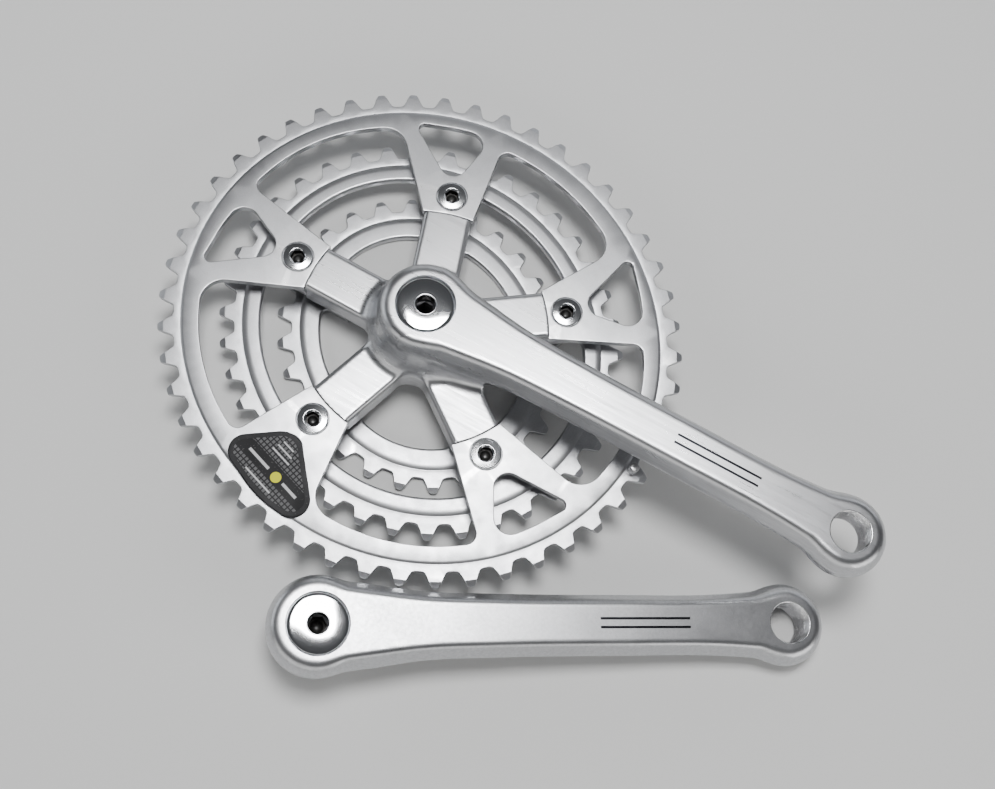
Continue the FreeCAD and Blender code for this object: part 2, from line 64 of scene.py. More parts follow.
# Arms.
ARM_LENGTH = 170.0
ARM_FLARE = 3.2
RIGHT_HEIGHT = 41.0
LEFT_HEIGHT = 27.5
RIGHT_HUB_DEPTH = 22.0
LEFT_HUB_DEPTH = 20.0
RIGHT_BORE_DEPTH = 19.0
LEFT_BORE_DEPTH = 12.0
CAP_BORE_RADIUS = 11.05
PEDAL_END_DEPTH = 14.0
PEDAL_HOLE_RADIUS = 7.7
THREAD_CREST_RADIUS = 7.14
THREAD_PITCH = 1.27
TAPER_HALF = 6.75
TAPER_CLOSING = 0.035
PEDAL_END_RADIUS = 14.9
BENCH_TOP = -1.0
TOP_ROUNDING = 1.9
FACE_ALLOWANCE = 0.03
RIGHT_HUB_BLEND = 3.0
LEFT_HUB_BLEND = 1.4
PEDAL_END_BLEND = 3.0
SPIDER_BLEND = 7.5

# Cross sections of an arm blade: place, top half width, widest half width,
# depth of the widest line, depth of the underside (hub share) and its half width.
BLADE_PLACE = (0.0, 18.0, 36.0, 62.0, 105.0, 146.0, 163.0)
BLADE_TOP = (13.6, 11.1, 9.0, 8.1, 7.8, 8.1, 9.3)
BLADE_WIDE = (17.6, 15.6, 12.9, 11.8, 11.4, 11.7, 13.0)
BLADE_WIDE_DEPTH = (9.0, 8.6, 8.2, 8.0, 7.8, 7.4, 6.8)
BLADE_UNDER = (15.5, 12.6, 9.3, 7.8, 7.4, 7.6, 9.0)

# Spider.
TABS = 5
TAB_STEP = 360.0 / TABS
TAB_ANGLES = [36.0 + TAB_STEP * k for k in range(TABS)]
SPIDER_BACK = 7.4
SPIDER_FRONT = 18.9
SPIDER_REACH = 47.0
SPIDER_HALF_WIDTH = 9.25
SPIDER_CORNER = 6.2
TAB_BACK = 10.6
TAB_THICKNESS = 5.0
TAB_REACH = 61.5
TAB_HALF_WIDTH = 8.6
BOLT_CIRCLE = 55.0
SMALL_CIRCLE = 37.0
BOLT_HOLE_RADIUS = 5.05
BOLT_HOLE_TOP = 17.0
SMALL_HOLE_RADIUS = 4.0
SMALL_HOLE_TOP = 15.4

# Chainrings: teeth, oval swing and long-axis angle of the pitch curve, angle of
# one tooth, rim inner edge and its swing, step below the pitch curve, tab end
# radius, tab half widths, side slopes, corner radii and the back face height.
TOOTH_PITCH = 12.7
RING_THICKNESS = 3.2
RINGS = {
    "outer": dict(teeth=48, swing=2.7, axis=-16.5, phase=30.4, rim=84.0, rim_swing=3.4,
                  step=7.1, end=47.4, left=9.7, right=10.0, left_slope=0.46, right_slope=0.17,
                  left_round=9.0, right_round=4.0, back=15.6),
    "middle": dict(teeth=38, swing=3.3, axis=-28.0, phase=72.7, rim=63.2, rim_swing=3.4,
                   step=7.3, end=47.6, left=8.6, right=8.6, left_slope=0.0, right_slope=0.0,
                   left_round=3.0, right_round=3.0, back=7.4),
    "inner": dict(teeth=28, swing=3.5, axis=-36.0, phase=72.1, rim=41.6, rim_swing=3.2,
                  step=7.4, end=30.2, left=7.4, right=7.4, left_slope=0.0, right_slope=0.0,
                  left_round=2.5, right_round=2.5, back=-1.0),
}
OUTER_FRONT = RINGS["outer"]["back"] + RING_THICKNESS
TIP_CROWN = 1.87
EDGE_BREAK = 0.42
BADGE_THICKNESS = 1.3

# Share of agreement below which a corner counts as a sharp edge.
SHARP_AGREEMENT = 0.84

# Half of one roller gap and half of one tooth tip, as (sideways, outward) steps
# from the pitch curve. The tip starts at the line where its bevel begins.
ROOT_HALF = [(0.0, -3.95), (1.1, -3.92), (1.9, -3.74), (2.42, -3.38), (2.72, -2.85), (3.3, -1.975)]
TIP_HALF = [(2.3, -0.3), (1.62, 1.05), (1.4, 1.5), (1.02, 1.76), (0.5, 1.86)]
BEVEL_START = -0.3
BEVEL_SLOPE = 0.34


# ---------------------------------------------------------------- small helpers


def polar(radius, degrees):
    a = np.radians(degrees)
    return np.stack([radius * np.cos(a), radius * np.sin(a)], -1)


def on_tab(u, v, degrees):
    """Point u outward and v sideways from a tab's centre line."""
    a = math.radians(degrees)
    return np.array([u * math.cos(a) - v * math.sin(a), u * math.sin(a) + v * math.cos(a)])


def smooth_table(places, values, samples=600):
    """Dense table of a smooth curve through the given stations."""
    places = np.asarray(places, float)
    values = np.asarray(values, float)
    slopes = np.gradient(values, places)
    x = np.linspace(places[0], places[-1], samples)
    k = np.clip(np.searchsorted(places, x, side="right") - 1, 0, len(places) - 2)
    span = places[k + 1] - places[k]
    t = (x - places[k]) / span
    y = ((2 * t**3 - 3 * t**2 + 1) * values[k] + (t**3 - 2 * t**2 + t) * span * slopes[k]
         + (3 * t**2 - 2 * t**3) * values[k + 1] + (t**3 - t**2) * span * slopes[k + 1])
    return x, y


def soft_max(a, b, blend):
    """The larger of two distances, with the edge between them rounded."""
    near = np.maximum(blend - np.abs(a - b), 0.0)
    return np.maximum(a, b) + near * near / (4.0 * blend)


def soft_min(a, b, blend):
    return -soft_max(-a, -b, blend)


def arc_points(start, middle, end, count):
    """Points along the circle arc through three points, both ends included."""
    start, middle, end = (np.asarray(p, float) for p in (start, middle, end))
    m = np.array([middle - start, end - start])
    half = 0.5 * (m * m).sum(1)
    centre = start + np.linalg.solve(m, half)
    radius = np.linalg.norm(start - centre)
    angles = [math.atan2(*(p - centre)[::-1]) for p in (start, middle, end)]
    turn = (angles[2] - angles[0]) % (2 * math.pi)
    if (angles[1] - angles[0]) % (2 * math.pi) > turn:
        turn -= 2 * math.pi
    sweep = angles[0] + turn * np.linspace(0.0, 1.0, count)
    return centre + radius * np.stack([np.cos(sweep), np.sin(sweep)], -1)


def line_points(start, end, step):
    """Inner points of a straight run, without its ends."""
    start, end = np.asarray(start, float), np.asarray(end, float)
    count = max(int(np.linalg.norm(end - start) / step), 1)
    share = np.arange(1, count)[:, None] / count
    return start + (end - start) * share


def circle_points(centre, radius, count=64):
    return np.asarray(centre) + polar(np.full(count, radius), np.arange(count) * 360.0 / count)


def inset(points, distance):
    """Loop moved to the left of its direction of travel, which is into the metal."""
    ahead = np.roll(points, -1, 0) - points
    ahead /= np.linalg.norm(ahead, axis=1)[:, None]
    left = np.stack([-ahead[:, 1], ahead[:, 0]], -1)
    before = np.roll(left, 1, 0)
    share = 1.0 / np.maximum(1.0 + (before * left).sum(1), 0.45)
    return points + distance * (before + left) * share[:, None]


def inside_loop(points, loop):
    """True for each point that lies inside a closed loop."""
    x, y = points[:, 0:1], points[:, 1:2]
    ax, ay = loop[:, 0], loop[:, 1]
    bx, by = np.roll(ax, -1), np.roll(ay, -1)
    crosses = (ay > y) != (by > y)
    level = np.where(by == ay, 1.0, by - ay)
    return ((crosses & (x < ax + (y - ay) * (bx - ax) / level)).sum(1) % 2) == 1


def shade_from_slopes(mesh, slopes):
    """Corner normals taken from the exact surface, except across a sharp edge."""
    count = len(mesh.loops)
    vertex = np.empty(count, dtype=np.int32)
    mesh.loops.foreach_get("vertex_index", vertex)
    flat = np.empty(len(mesh.polygons) * 3)
    mesh.polygons.foreach_get("normal", flat)
    sizes = np.empty(len(mesh.polygons), dtype=np.int32)
    mesh.polygons.foreach_get("loop_total", sizes)
    face_way = np.repeat(flat.reshape(-1, 3), sizes, axis=0)
    exact = slopes[vertex]
    worst = np.ones(len(slopes))
    np.minimum.at(worst, vertex, (exact * face_way).sum(1))
    smooth = worst[vertex] > SHARP_AGREEMENT
    mesh.normals_split_custom_set(np.where(smooth[:, None], exact, face_way).tolist())


def make_piece(name, points, faces, material, body, nodes=(), sharp=38.0, weighted=True,
               folds=(), shading=None, painted_shade_end=None):
    """Mesh object that rides on a body and may stand for CAD nodes."""
    mesh = bpy.data.meshes.new(name)
    mesh.from_pydata((np.asarray(points, float) * MM).tolist(), [], faces)
    mesh.update()
    mesh.shade_smooth()
    mesh.set_sharp_from_angle(angle=math.radians(sharp))
    folded = {tuple(sorted(pair)) for pair in folds}
    for edge in mesh.edges:
        if folded and tuple(sorted(edge.vertices)) in folded:
            edge.use_edge_sharp = True
    mesh.materials.append(material)
    # Painted shade: the last faces of the piece, the inside of a hex socket, take a near-black material.
    if painted_shade_end is not None:
        mesh.materials.append(painted_shade_end[0])
        for polygon in mesh.polygons[len(mesh.polygons) - painted_shade_end[1]:]:
            polygon.material_index = 1
    if shading is not None:
        shade_from_slopes(mesh, shading)
    piece = bpy.data.objects.new(name, mesh)
    bpy.context.scene.collection.objects.link(piece)
    if weighted and shading is None:
        weighing = piece.modifiers.new("edge_shading", "WEIGHTED_NORMAL")
        weighing.keep_sharp = True
    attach(piece, body)
    if nodes:
        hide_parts(*nodes)
    return piece


# ---------------------------------------------------------------- ring outlines


def ring_radius(ring, mean, swing, degrees):
    return mean + swing * np.cos(2.0 * np.radians(degrees - ring["axis"]))


def pitch_mean(ring):
    return ring["teeth"] * TOOTH_PITCH / (2.0 * math.pi)


def tooth_loop(ring):
    """Tooth outline with, for each point, how far it stands outside the pitch curve.

    Tips and roller gaps follow each other at equal arc length along the oval.
    """
    mean, swing = pitch_mean(ring), ring["swing"]
    fine = ring["phase"] + np.linspace(0.0, 360.0, 7201)
    track = polar(ring_radius(ring, mean, swing, fine), fine)
    walked = np.r_[0.0, np.cumsum(np.linalg.norm(np.diff(track, axis=0), axis=1))]
    marks = 2 * ring["teeth"]
    degrees = np.interp(np.arange(marks) * walked[-1] / marks, walked, fine)
    points, rises, bevels = [], [], []
    for k, mark in enumerate(degrees):
        here = polar(ring_radius(ring, mean, swing, mark), mark)
        along = polar(ring_radius(ring, mean, swing, mark + 0.3), mark + 0.3) - here
        along /= np.linalg.norm(along)
        out = np.array([along[1], -along[0]])
        if k % 2:
            half = ROOT_HALF[::-1]
            steps = [(-s, o) for s, o in half] + ROOT_HALF[1:]
        else:
            half = TIP_HALF
            steps = [(-s, o) for s, o in half] + [(0.0, TIP_CROWN)] + half[::-1]
            bevels.append((len(points), len(points) + len(steps) - 1))
        for s, o in steps:
            points.append(here + along * s + out * o)
            rises.append(o)
    return np.array(points), np.array(rises), bevels


def round_corner(corner, before, after, radius):
    """Start, middle and end of the arc that rounds a corner between two edges."""
    one, two = before - corner, after - corner
    long_one, long_two = np.linalg.norm(one), np.linalg.norm(two)
    one, two = one / long_one, two / long_two
    half = math.acos(float(one @ two)) / 2.0
    run = min(radius / math.tan(half), long_one * 0.8, long_two * 0.8)
    radius = run * math.tan(half)
    middle = (one + two) / np.linalg.norm(one + two)
    return (corner + one * run, corner + middle * (radius / math.sin(half) - radius),
            corner + two * run)


def rim_point(ring, degrees):
    return polar(ring_radius(ring, ring["rim"], ring["rim_swing"], degrees), degrees)


def rim_crossing(ring, width, slope, side, tab):
    """Where a tab side meets the oval rim edge."""
    low, high = ring["end"], ring["end"] + 60.0
    for _ in range(40):
        u = (low + high) / 2.0
        point = on_tab(u, side * (width + slope * (u - ring["end"])), tab)
        degrees = math.degrees(math.atan2(point[1], point[0]))
        if np.linalg.norm(point) < ring_radius(ring, ring["rim"], ring["rim_swing"], degrees):
            low = u
        else:
            high = u
    return point, degrees


def window_loop(ring):
    """Inside edge of a ring, travelled with the metal on the left."""
    points = []
    end_u = ring["end"] - 0.9
    for tab in TAB_ANGLES:
        following = tab + TAB_STEP
        right_end = on_tab(end_u, -ring["right"], tab)
        left_end = on_tab(end_u, ring["left"], tab)
        next_end = on_tab(end_u, -ring["right"], following)
        left_rim, first = rim_crossing(ring, ring["left"], ring["left_slope"], 1.0, tab)
        right_rim, last = rim_crossing(ring, ring["right"], ring["right_slope"], -1.0, following)
        span = (last - first) % 360.0
        one = round_corner(left_rim, left_end, rim_point(ring, first + 12.0), ring["left_round"])
        two = round_corner(right_rim, rim_point(ring, last - 12.0), next_end, ring["right_round"])
        middle = rim_point(ring, first + span / 2.0)
        points.append(arc_points(right_end, on_tab(ring["end"], 0.0, tab), left_end, 15))
        points.append(line_points(left_end, one[0], 1.5))
        points.append(arc_points(*one, 12)[:-1])
        points.append(arc_points(one[2], middle, two[0], 36)[:-1])
        points.append(arc_points(*two, 10))
        points.append(line_points(two[2], next_end, 1.5))
    return np.concatenate(points)[::-1]


def rounded_loop(corners, radii):
    """Closed outline given by its sharp corners and their radii."""
    arcs = [round_corner(corners[k], corners[k - 1], corners[(k + 1) % len(corners)], radius)
            for k, radius in enumerate(radii)]
    points = []
    for k, arc in enumerate(arcs):
        points.append(arc_points(*arc, 15))
        points.append(line_points(arc[2], arcs[(k + 1) % len(arcs)][0], 1.5))
    return np.concatenate(points)


def metal_left(loop, inner):
    """Loop turned so that the metal lies to the left of its travel."""
    after = np.roll(loop, -1, 0)
    area = (loop[:, 0] * after[:, 1] - after[:, 0] * loop[:, 1]).sum()
    return loop[::-1] if (area > 0) == inner else loop


def tab_window(tab):
    """Opening in a wide tab of the outer ring, with a bowed outer side."""
    reach = ring_radius(RINGS["outer"], 85.2, 1.5, tab + 3.0)
    corners = [on_tab(59.3, 1.1, tab), on_tab(reach - 0.6, -11.2, tab),
               on_tab(reach + 0.1, 4.0, tab), on_tab(reach - 1.0, 21.0, tab)]
    return metal_left(rounded_loop(corners, (5.5, 6.0, 60.0, 2.4)), True)


def oval_loop(ring, below):
    degrees = np.arange(0.0, 360.0, 1.5)
    return polar(ring_radius(ring, pitch_mean(ring) - below, ring["swing"], degrees), degrees)


# ---------------------------------------------------------------- plate pieces


def face_between(loops, creases, cuts, flip):
    """Triangles that fill a flat region: loops and creases are (indices, 2D points)."""
    index, flat, edges = [], [], []
    for ids, points in loops + creases:
        start = len(index)
        index += list(ids)
        flat += [Vector(p) for p in points.tolist()]
        edges += [(start + k, start + (k + 1) % len(ids)) for k in range(len(ids))]
    place = {vertex: k for k, vertex in enumerate(index)}
    edges += [(place[a], place[b]) for a, b in cuts]
    spots, _, triangles, origins, _, _ = delaunay_2d_cdt(flat, edges, [], 0, 1e-7)
    spots = np.array([list(p) for p in spots])
    triangles = np.array([list(t) for t in triangles])
    centres = spots[triangles].mean(1)
    keep = inside_loop(centres, loops[0][1])
    for _, points in loops[1:]:
        keep &= ~inside_loop(centres, points)
    found = [index[o[0]] for o in origins]
    order = (0, 2, 1) if flip else (0, 1, 2)
    return [tuple(found[t[k]] for k in order) for t in triangles[keep]]


def plate(loops, creases, back, thickness, cuts=()):
    """Closed plate with worked edges.

    A loop is (points, rows, drops): rows are (inset, side, depth) from the front
    rim to the back rim, and drops say how far the front falls at each point.
    A crease is (points, drop) and lies in the front face.
    """
    vertices, faces, front_loops, back_loops = [], [], [], []
    cut_edges, folds = [], []
    for number, (points, rows, drops) in enumerate(loops):
        count = len(points)
        rings = []
        for shift, side, depth in rows:
            moved = inset(points, shift) if shift else points
            if side == "front":
                height = back + thickness - depth - drops
            else:
                height = back + depth + drops * 0.8
            start = len(vertices)
            vertices += np.column_stack([moved, height]).tolist()
            rings.append((list(range(start, start + count)), moved))
        for (upper, _), (lower, _) in zip(rings, rings[1:]):
            for k in range(count):
                n = (k + 1) % count
                faces.append((upper[k], lower[k], lower[n], upper[n]))
        front_loops.append(rings[0])
        back_loops.append(rings[-1])
        if number == 0:
            cut_edges = [[(r[0][a], r[0][b]) for a, b in cuts] for r in (rings[0], rings[-1])]
            for a, b in cuts:
                folds += [(rings[0][0][k], rings[0][0][k + 1]) for k in range(a, b)]
    front_creases = []
    for points, drop in creases:
        start = len(vertices)
        heights = np.full(len(points), back + thickness - drop)
        vertices += np.column_stack([points, heights]).tolist()
        front_creases.append((list(range(start, start + len(points))), points))
    faces += face_between(front_loops, front_creases, cut_edges[0], False)
    faces += face_between(back_loops, [], cut_edges[1], True)
    return vertices, faces, cut_edges[0] + folds


def worked_edge(size):
    """Rows of a rounded edge on both faces of a plate."""
    rows = [(size, "front", 0.0), (size * 0.4, "front", size * 0.13), (size * 0.1, "front", size * 0.45),
            (0.0, "front", size)]
    return rows + [(a, "back", d) for a, _, d in rows[::-1]]


def build_ring(ring, holes, hole_rows, crown, extra=()):
    """One chainring: toothed outline, inner window and bolt holes."""
    thickness = RING_THICKNESS
    points, rises, bevels = tooth_loop(ring)
    drops = 0.45 + np.maximum(rises - BEVEL_START, 0.0) * BEVEL_SLOPE
    teeth_rows = worked_edge(0.22)
    loops = [(points, teeth_rows, drops)]
    if crown:
        rim_rows = [(1.1, "front", 0.0), (0.68, "front", 0.07), (0.35, "front", 0.25),
                    (0.12, "front", 0.55), (0.0, "front", 1.0), (0.0, "back", 0.35), (0.35, "back", 0.0)]
    else:
        rim_rows = worked_edge(EDGE_BREAK)
    inner = window_loop(ring)
    loops.append((inner, rim_rows, np.zeros(len(inner))))
    for tab in TAB_ANGLES:
        loop = circle_points(on_tab(holes, 0.0, tab), hole_rows[0])[::-1]
        loops.append((loop, hole_rows[1], np.zeros(len(loop))))
    for loop in extra:
        loops.append((loop, worked_edge(EDGE_BREAK), np.zeros(len(loop))))
    step = ring["step"]
    creases = [(oval_loop(ring, step + 0.7), 0.02 if not crown else 0.12),
               (oval_loop(ring, step - 0.25), 0.6), (oval_loop(ring, step - 0.6), 0.62),
               (oval_loop(ring, step - 1.5), 0.45)]
    if crown:
        creases.append((oval_loop(ring, step + 2.2), 0.02))
    return plate(loops, creases, ring["back"], thickness, bevels)


# ---------------------------------------------------------------- forgings

BLADE_TABLES = {
    "top": smooth_table(BLADE_PLACE, BLADE_TOP),
    "wide": smooth_table(BLADE_PLACE, BLADE_WIDE),
    "wide_depth": smooth_table(BLADE_PLACE, BLADE_WIDE_DEPTH),
    "under": smooth_table(BLADE_PLACE, BLADE_UNDER),
}


def blade_depth_table(hub, hold):
    """Depth of the underside along the arm; hold says how far the hub depth reaches."""
    share = (hub - 12.6) * hold
    return smooth_table(BLADE_PLACE, (hub, hub - 0.7, 12.6 + share, 13.4, 12.6, 12.6, 12.9))


def side_of_line(p, t, start, end):
    """Signed distance outside the line from start to end, both (sideways, depth)."""
    run = end[0] - start[0]
    fall = end[1] - start[1]
    return ((p - start[0]) * fall - (t - start[1]) * run) / np.hypot(run, fall)


def blade_flanks(x, y, depth, under_table):
    """The blade's two flanks and its underside, open at the top face."""
    top, wide, wide_depth, under = (np.interp(x, *BLADE_TABLES[k])
                                    for k in ("top", "wide", "wide_depth", "under"))
    deep = np.interp(x, *under_table)
    p = np.abs(y)
    upper = side_of_line(p, depth, (top, 0.0), (wide, wide_depth))
    band = side_of_line(p, depth, (wide, wide_depth), (wide - 0.5, wide_depth + 2.0))
    lower = side_of_line(p, depth, (wide - 0.5, wide_depth + 2.0), (under, deep))
    flank = soft_max(upper, band, 1.3)
    flank = soft_max(flank, lower, 3.0)
    return soft_max(flank, depth - deep, 3.2)


def turned_side(r, z, table):
    """Distance outside a turned surface whose radius is a table over height."""
    heights, radii = table
    slope = np.gradient(radii, heights)
    return (r - np.interp(z, heights, radii)) / np.sqrt(1.0 + np.interp(z, heights, slope) ** 2)


def boss_table(height):
    """Radius of the boss over its height."""
    low = 16.0
    return smooth_table(
        (-4.0, 0.0, height * 0.18, height * 0.5, height - 11.0, height - 5.0, height - 1.6,
         height, height + 4.0),
        (low, low, low + 0.6, 17.6, 17.72, 17.25, 15.9, 14.7, 10.7))


PEDAL_TABLE = smooth_table((-4.0, 0.0, 3.0, 6.6, 8.4, 11.0, 12.8, 14.0, 18.0),
                           (9.0, 11.5, 13.5, 14.8, 14.85, 14.0, 12.9, 11.6, 6.0))


def spider_field(x, y, z, r):
    """The five spider arms, rising to a cone at the hub, and the angle of each point."""
    turn = np.arctan2(y, x)
    half_step = math.radians(TAB_STEP / 2.0)
    c, s = math.cos(half_step), math.sin(half_step)
    fold = np.mod(turn + half_step, 2.0 * half_step) - half_step
    lead = (SPIDER_HALF_WIDTH + SPIDER_CORNER) / s
    px = r * np.cos(fold) - lead
    py = np.abs(r * np.sin(fold))
    along = np.maximum(px * c + py * s, 0.0)
    gap = np.hypot(px - along * c, py - along * s)
    window = np.where(py * c < px * s, -gap, gap) - SPIDER_CORNER
    climb = np.clip((25.0 - r) / 8.0, 0.0, 1.2)
    rise = SPIDER_FRONT + 4.0 * climb**2
    top = (z - rise) / np.sqrt(1.0 + climb**2)
    solid = soft_max(-window, top, 2.2)
    solid = soft_max(solid, r - SPIDER_REACH - 0.3, 0.35)
    return soft_max(solid, SPIDER_BACK - z, 1.0), turn


def add_tabs(body, z, r, turn):
    """The arm with its spider's stepped tabs added and the ring bolt holes cut."""
    half_step = math.radians(TAB_STEP / 2.0)
    fold = np.mod(turn, 2.0 * half_step) - half_step
    u, v = r * np.cos(fold), r * np.sin(fold)
    corner = 4.5
    qu = np.abs(u - 50.0) - (TAB_REACH - 50.0) + corner
    qv = np.abs(v) - TAB_HALF_WIDTH + corner
    plan = (np.minimum(np.maximum(qu, qv), 0.0)
            + np.hypot(np.maximum(qu, 0.0), np.maximum(qv, 0.0)) - corner)
    middle = TAB_BACK + TAB_THICKNESS / 2.0
    tabs = soft_max(plan, np.abs(z - middle) - TAB_THICKNESS / 2.0, 0.7)
    bolt_hole = np.maximum(np.hypot(u - BOLT_CIRCLE, v) - BOLT_HOLE_RADIUS, z - BOLT_HOLE_TOP)
    small_hole = np.maximum(np.hypot(u - SMALL_CIRCLE, v) - SMALL_HOLE_RADIUS, z - SMALL_HOLE_TOP)
    return np.maximum(np.minimum(body, tabs), -np.minimum(bolt_hole, small_hole))


def arm_field(height, hub, bore_depth, spider):
    """Solid of one crank arm, negative inside the metal."""
    under_table = blade_depth_table(hub, 0.7 if spider else 0.45)
    boss_shape = boss_table(height)
    shoulder = height - bore_depth
    hub_blend = RIGHT_HUB_BLEND if spider else LEFT_HUB_BLEND

    def field(x, y, z):
        face = height - FACE_ALLOWANCE + ARM_FLARE * np.minimum(x, ARM_LENGTH) / ARM_LENGTH
        depth = face - z
        r = np.hypot(x, y)
        blade = blade_flanks(x, y, depth, under_table)
        blade = np.maximum(blade, np.maximum(-x, x - ARM_LENGTH))
        boss = soft_max(turned_side(r, z, boss_shape), -z, 1.8)
        eye_r = np.hypot(x - ARM_LENGTH, y)
        eye = soft_max(turned_side(eye_r, depth, PEDAL_TABLE), depth - PEDAL_END_DEPTH, 2.0)
        body = soft_min(blade, boss, hub_blend)
        body = soft_min(body, eye, PEDAL_END_BLEND)
        if spider:
            star, turn = spider_field(x, y, z, r)
            body = soft_min(body, star, SPIDER_BLEND)
        body = soft_max(body, -depth, TOP_ROUNDING)
        body = np.maximum(body, np.where(x > 120.0, depth - PEDAL_END_DEPTH, -5.0))
        if spider:
            body = add_tabs(body, z, r, turn)
        bore = np.maximum(r - CAP_BORE_RADIUS - 0.05, shoulder - z)
        half = TAPER_HALF - TAPER_CLOSING * z
        square = np.maximum(np.maximum(np.abs(x), np.abs(y)) - half,
                            (np.abs(x) + np.abs(y) - 1.7 * half) * 0.7071)
        socket = np.maximum(square, z - shoulder - 0.5)
        pedal_hole = eye_r - PEDAL_HOLE_RADIUS
        return np.maximum(body, -np.minimum(np.minimum(bore, socket), pedal_hole))

    return field


def skin(field, low, high, cell):
    """Closed surface where the field is zero, with its edges kept crisp."""
    axes = [np.arange(a, b + cell, cell) for a, b in zip(low, high)]
    shape = np.array([len(a) for a in axes])
    value = np.empty(shape)
    for k in range(0, shape[0], 40):
        value[k:k + 40] = field(*np.meshgrid(axes[0][k:k + 40], axes[1], axes[2], indexing="ij"))
    origin = np.array([a[0] for a in axes])
    strides = np.array([shape[1] * shape[2], shape[2], 1])
    spots, normals, cells, quads_turn = [], [], [], []
    for axis in range(3):
        near = [slice(None)] * 3
        far = [slice(None)] * 3
        near[axis], far[axis] = slice(0, -1), slice(1, None)
        a, b = value[tuple(near)], value[tuple(far)]
        corner = np.argwhere((a < 0) != (b < 0))
        fa, fb = a[tuple(corner.T)], b[tuple(corner.T)]
        step = np.zeros(3)
        step[axis] = cell
        start = origin + corner * cell
        ta, tb = np.zeros(len(fa)), np.ones(len(fa))
        va, vb = fa.copy(), fb.copy()
        for _ in range(4):
            t = np.clip(ta + (tb - ta) * va / (va - vb), ta * 0.95 + tb * 0.05, ta * 0.05 + tb * 0.95)
            v = field(*(start + step * t[:, None]).T)
            same = (v < 0) == (va < 0)
            ta, va = np.where(same, t, ta), np.where(same, v, va)
            tb, vb = np.where(same, tb, t), np.where(same, vb, v)
        t = ta + (tb - ta) * va / (va - vb)
        spot = start + step * t[:, None]
        slope = []
        for k in range(3):
            nudge = np.zeros(3)
            nudge[k] = 0.02
            slope.append(field(*(spot + nudge).T) - field(*(spot - nudge).T))
        slope = np.stack(slope, -1)
        slope /= np.maximum(np.linalg.norm(slope, axis=1), 1e-9)[:, None]
        base = corner @ strides
        one, two = strides[(axis + 1) % 3], strides[(axis + 2) % 3]
        around = np.stack([base - one - two, base - two, base, base - one], -1)
        spots.append(spot)
        normals.append(slope)
        cells.append(around)
        quads_turn.append(fa < 0)
    spots, normals = np.concatenate(spots), np.concatenate(normals)
    cells, outward = np.concatenate(cells), np.concatenate(quads_turn)
    unique, place = np.unique(cells, return_inverse=True)
    place = place.reshape(cells.shape)
    total = len(unique)
    who = place.ravel()
    s, n = np.repeat(spots, 4, axis=0), np.repeat(normals, 4, axis=0)

    def gathered(weights):
        return np.bincount(who, weights, total)

    count = gathered(np.ones(len(who)))
    middle = np.stack([gathered(s[:, k]) for k in range(3)], -1) / count[:, None]
    push = (n * (s - middle[who])).sum(1)
    matrix = np.empty((total, 3, 3))
    for i in range(3):
        for j in range(3):
            matrix[:, i, j] = gathered(n[:, i] * n[:, j])
    pull = np.stack([gathered(n[:, k] * push) for k in range(3)], -1)
    weight, axis_set = np.linalg.eigh(matrix)
    cut = weight > 0.08 * weight[:, 2:3]
    weight = np.where(cut, 1.0 / np.where(cut, weight, 1.0), 0.0)
    local = np.einsum("nji,nj->ni", axis_set, pull) * weight
    shift = np.einsum("nij,nj->ni", axis_set, local)
    corner = np.stack(np.unravel_index(unique, shape), -1)
    floor = origin + corner * cell
    vertices = np.clip(middle + shift, floor, floor + cell)
    faces = np.where(outward[:, None], place, place[:, ::-1])
    slopes = []
    for k in range(3):
        nudge = np.zeros(3)
        nudge[k] = 0.06
        slopes.append(field(*(vertices + nudge).T) - field(*(vertices - nudge).T))
    slopes = np.stack(slopes, -1)
    slopes /= np.maximum(np.linalg.norm(slopes, axis=1), 1e-9)[:, None]
    return vertices, faces, slopes


# ---------------------------------------------------------------- turned pieces


def eased(profile, radius):
    """Profile with its corners rounded by a small radius."""
    points = [np.array(profile[0], float)]
    for a, b, c in zip(profile, profile[1:], profile[2:]):
        a, b, c = (np.array(p[:2], float) for p in (a, b, c))
        back, on = a - b, c - b
        lb, lo = np.linalg.norm(back), np.linalg.norm(on)
        run = min(radius, lb * 0.4, lo * 0.4)
        if abs(float(back @ on)) / (lb * lo) > 0.995:
            points.append(b)
            continue
        start, end = b + back / lb * run, b + on / lo * run
        points += [start, b * 0.5 + (start + end) * 0.25, end]
    points.append(np.array(profile[-1], float))
    return [tuple(p) for p in points]


def turned(rows, sides=96, closed=False):
    """Turned body. A row is (radius, height) or (half flats, height, "hex").

    The rows run from the axis or from any ring, with the metal on their left
    when seen with the axis on the left and up as up.
    """
    angles = np.arange(sides) * 2.0 * math.pi / sides
    flat = np.cos(np.mod(angles, math.pi / 3.0) - math.pi / 6.0)
    vertices, rings = [], []
    for row in rows:
        if row[0] < 1e-6:
            rings.append([len(vertices)])
            vertices.append((0.0, 0.0, row[1]))
            continue
        radius = row[0] / flat if len(row) > 2 else np.full(sides, row[0])
        start = len(vertices)
        vertices += np.column_stack([radius * np.cos(angles), radius * np.sin(angles),
                                     np.full(sides, row[1])]).tolist()
        rings.append(list(range(start, start + sides)))
    faces = []
    pairs = list(zip(rings, rings[1:]))
    if closed:
        pairs.append((rings[-1], rings[0]))
    for one, two in pairs:
        for k in range(sides):
            n = (k + 1) % sides
            if len(one) == 1:
                faces.append((one[0], two[n], two[k]))
            elif len(two) == 1:
                faces.append((one[k], one[n], two[0]))
            else:
                faces.append((one[k], one[n], two[n], two[k]))
    return np.array(vertices), faces


def placed(points, x, y, degrees=0.0):
    c, s = math.cos(math.radians(degrees)), math.sin(math.radians(degrees))
    spin = np.array([[c, s, 0.0], [-s, c, 0.0], [0.0, 0.0, 1.0]])
    return np.asarray(points) @ spin + np.array([x, y, 0.0])


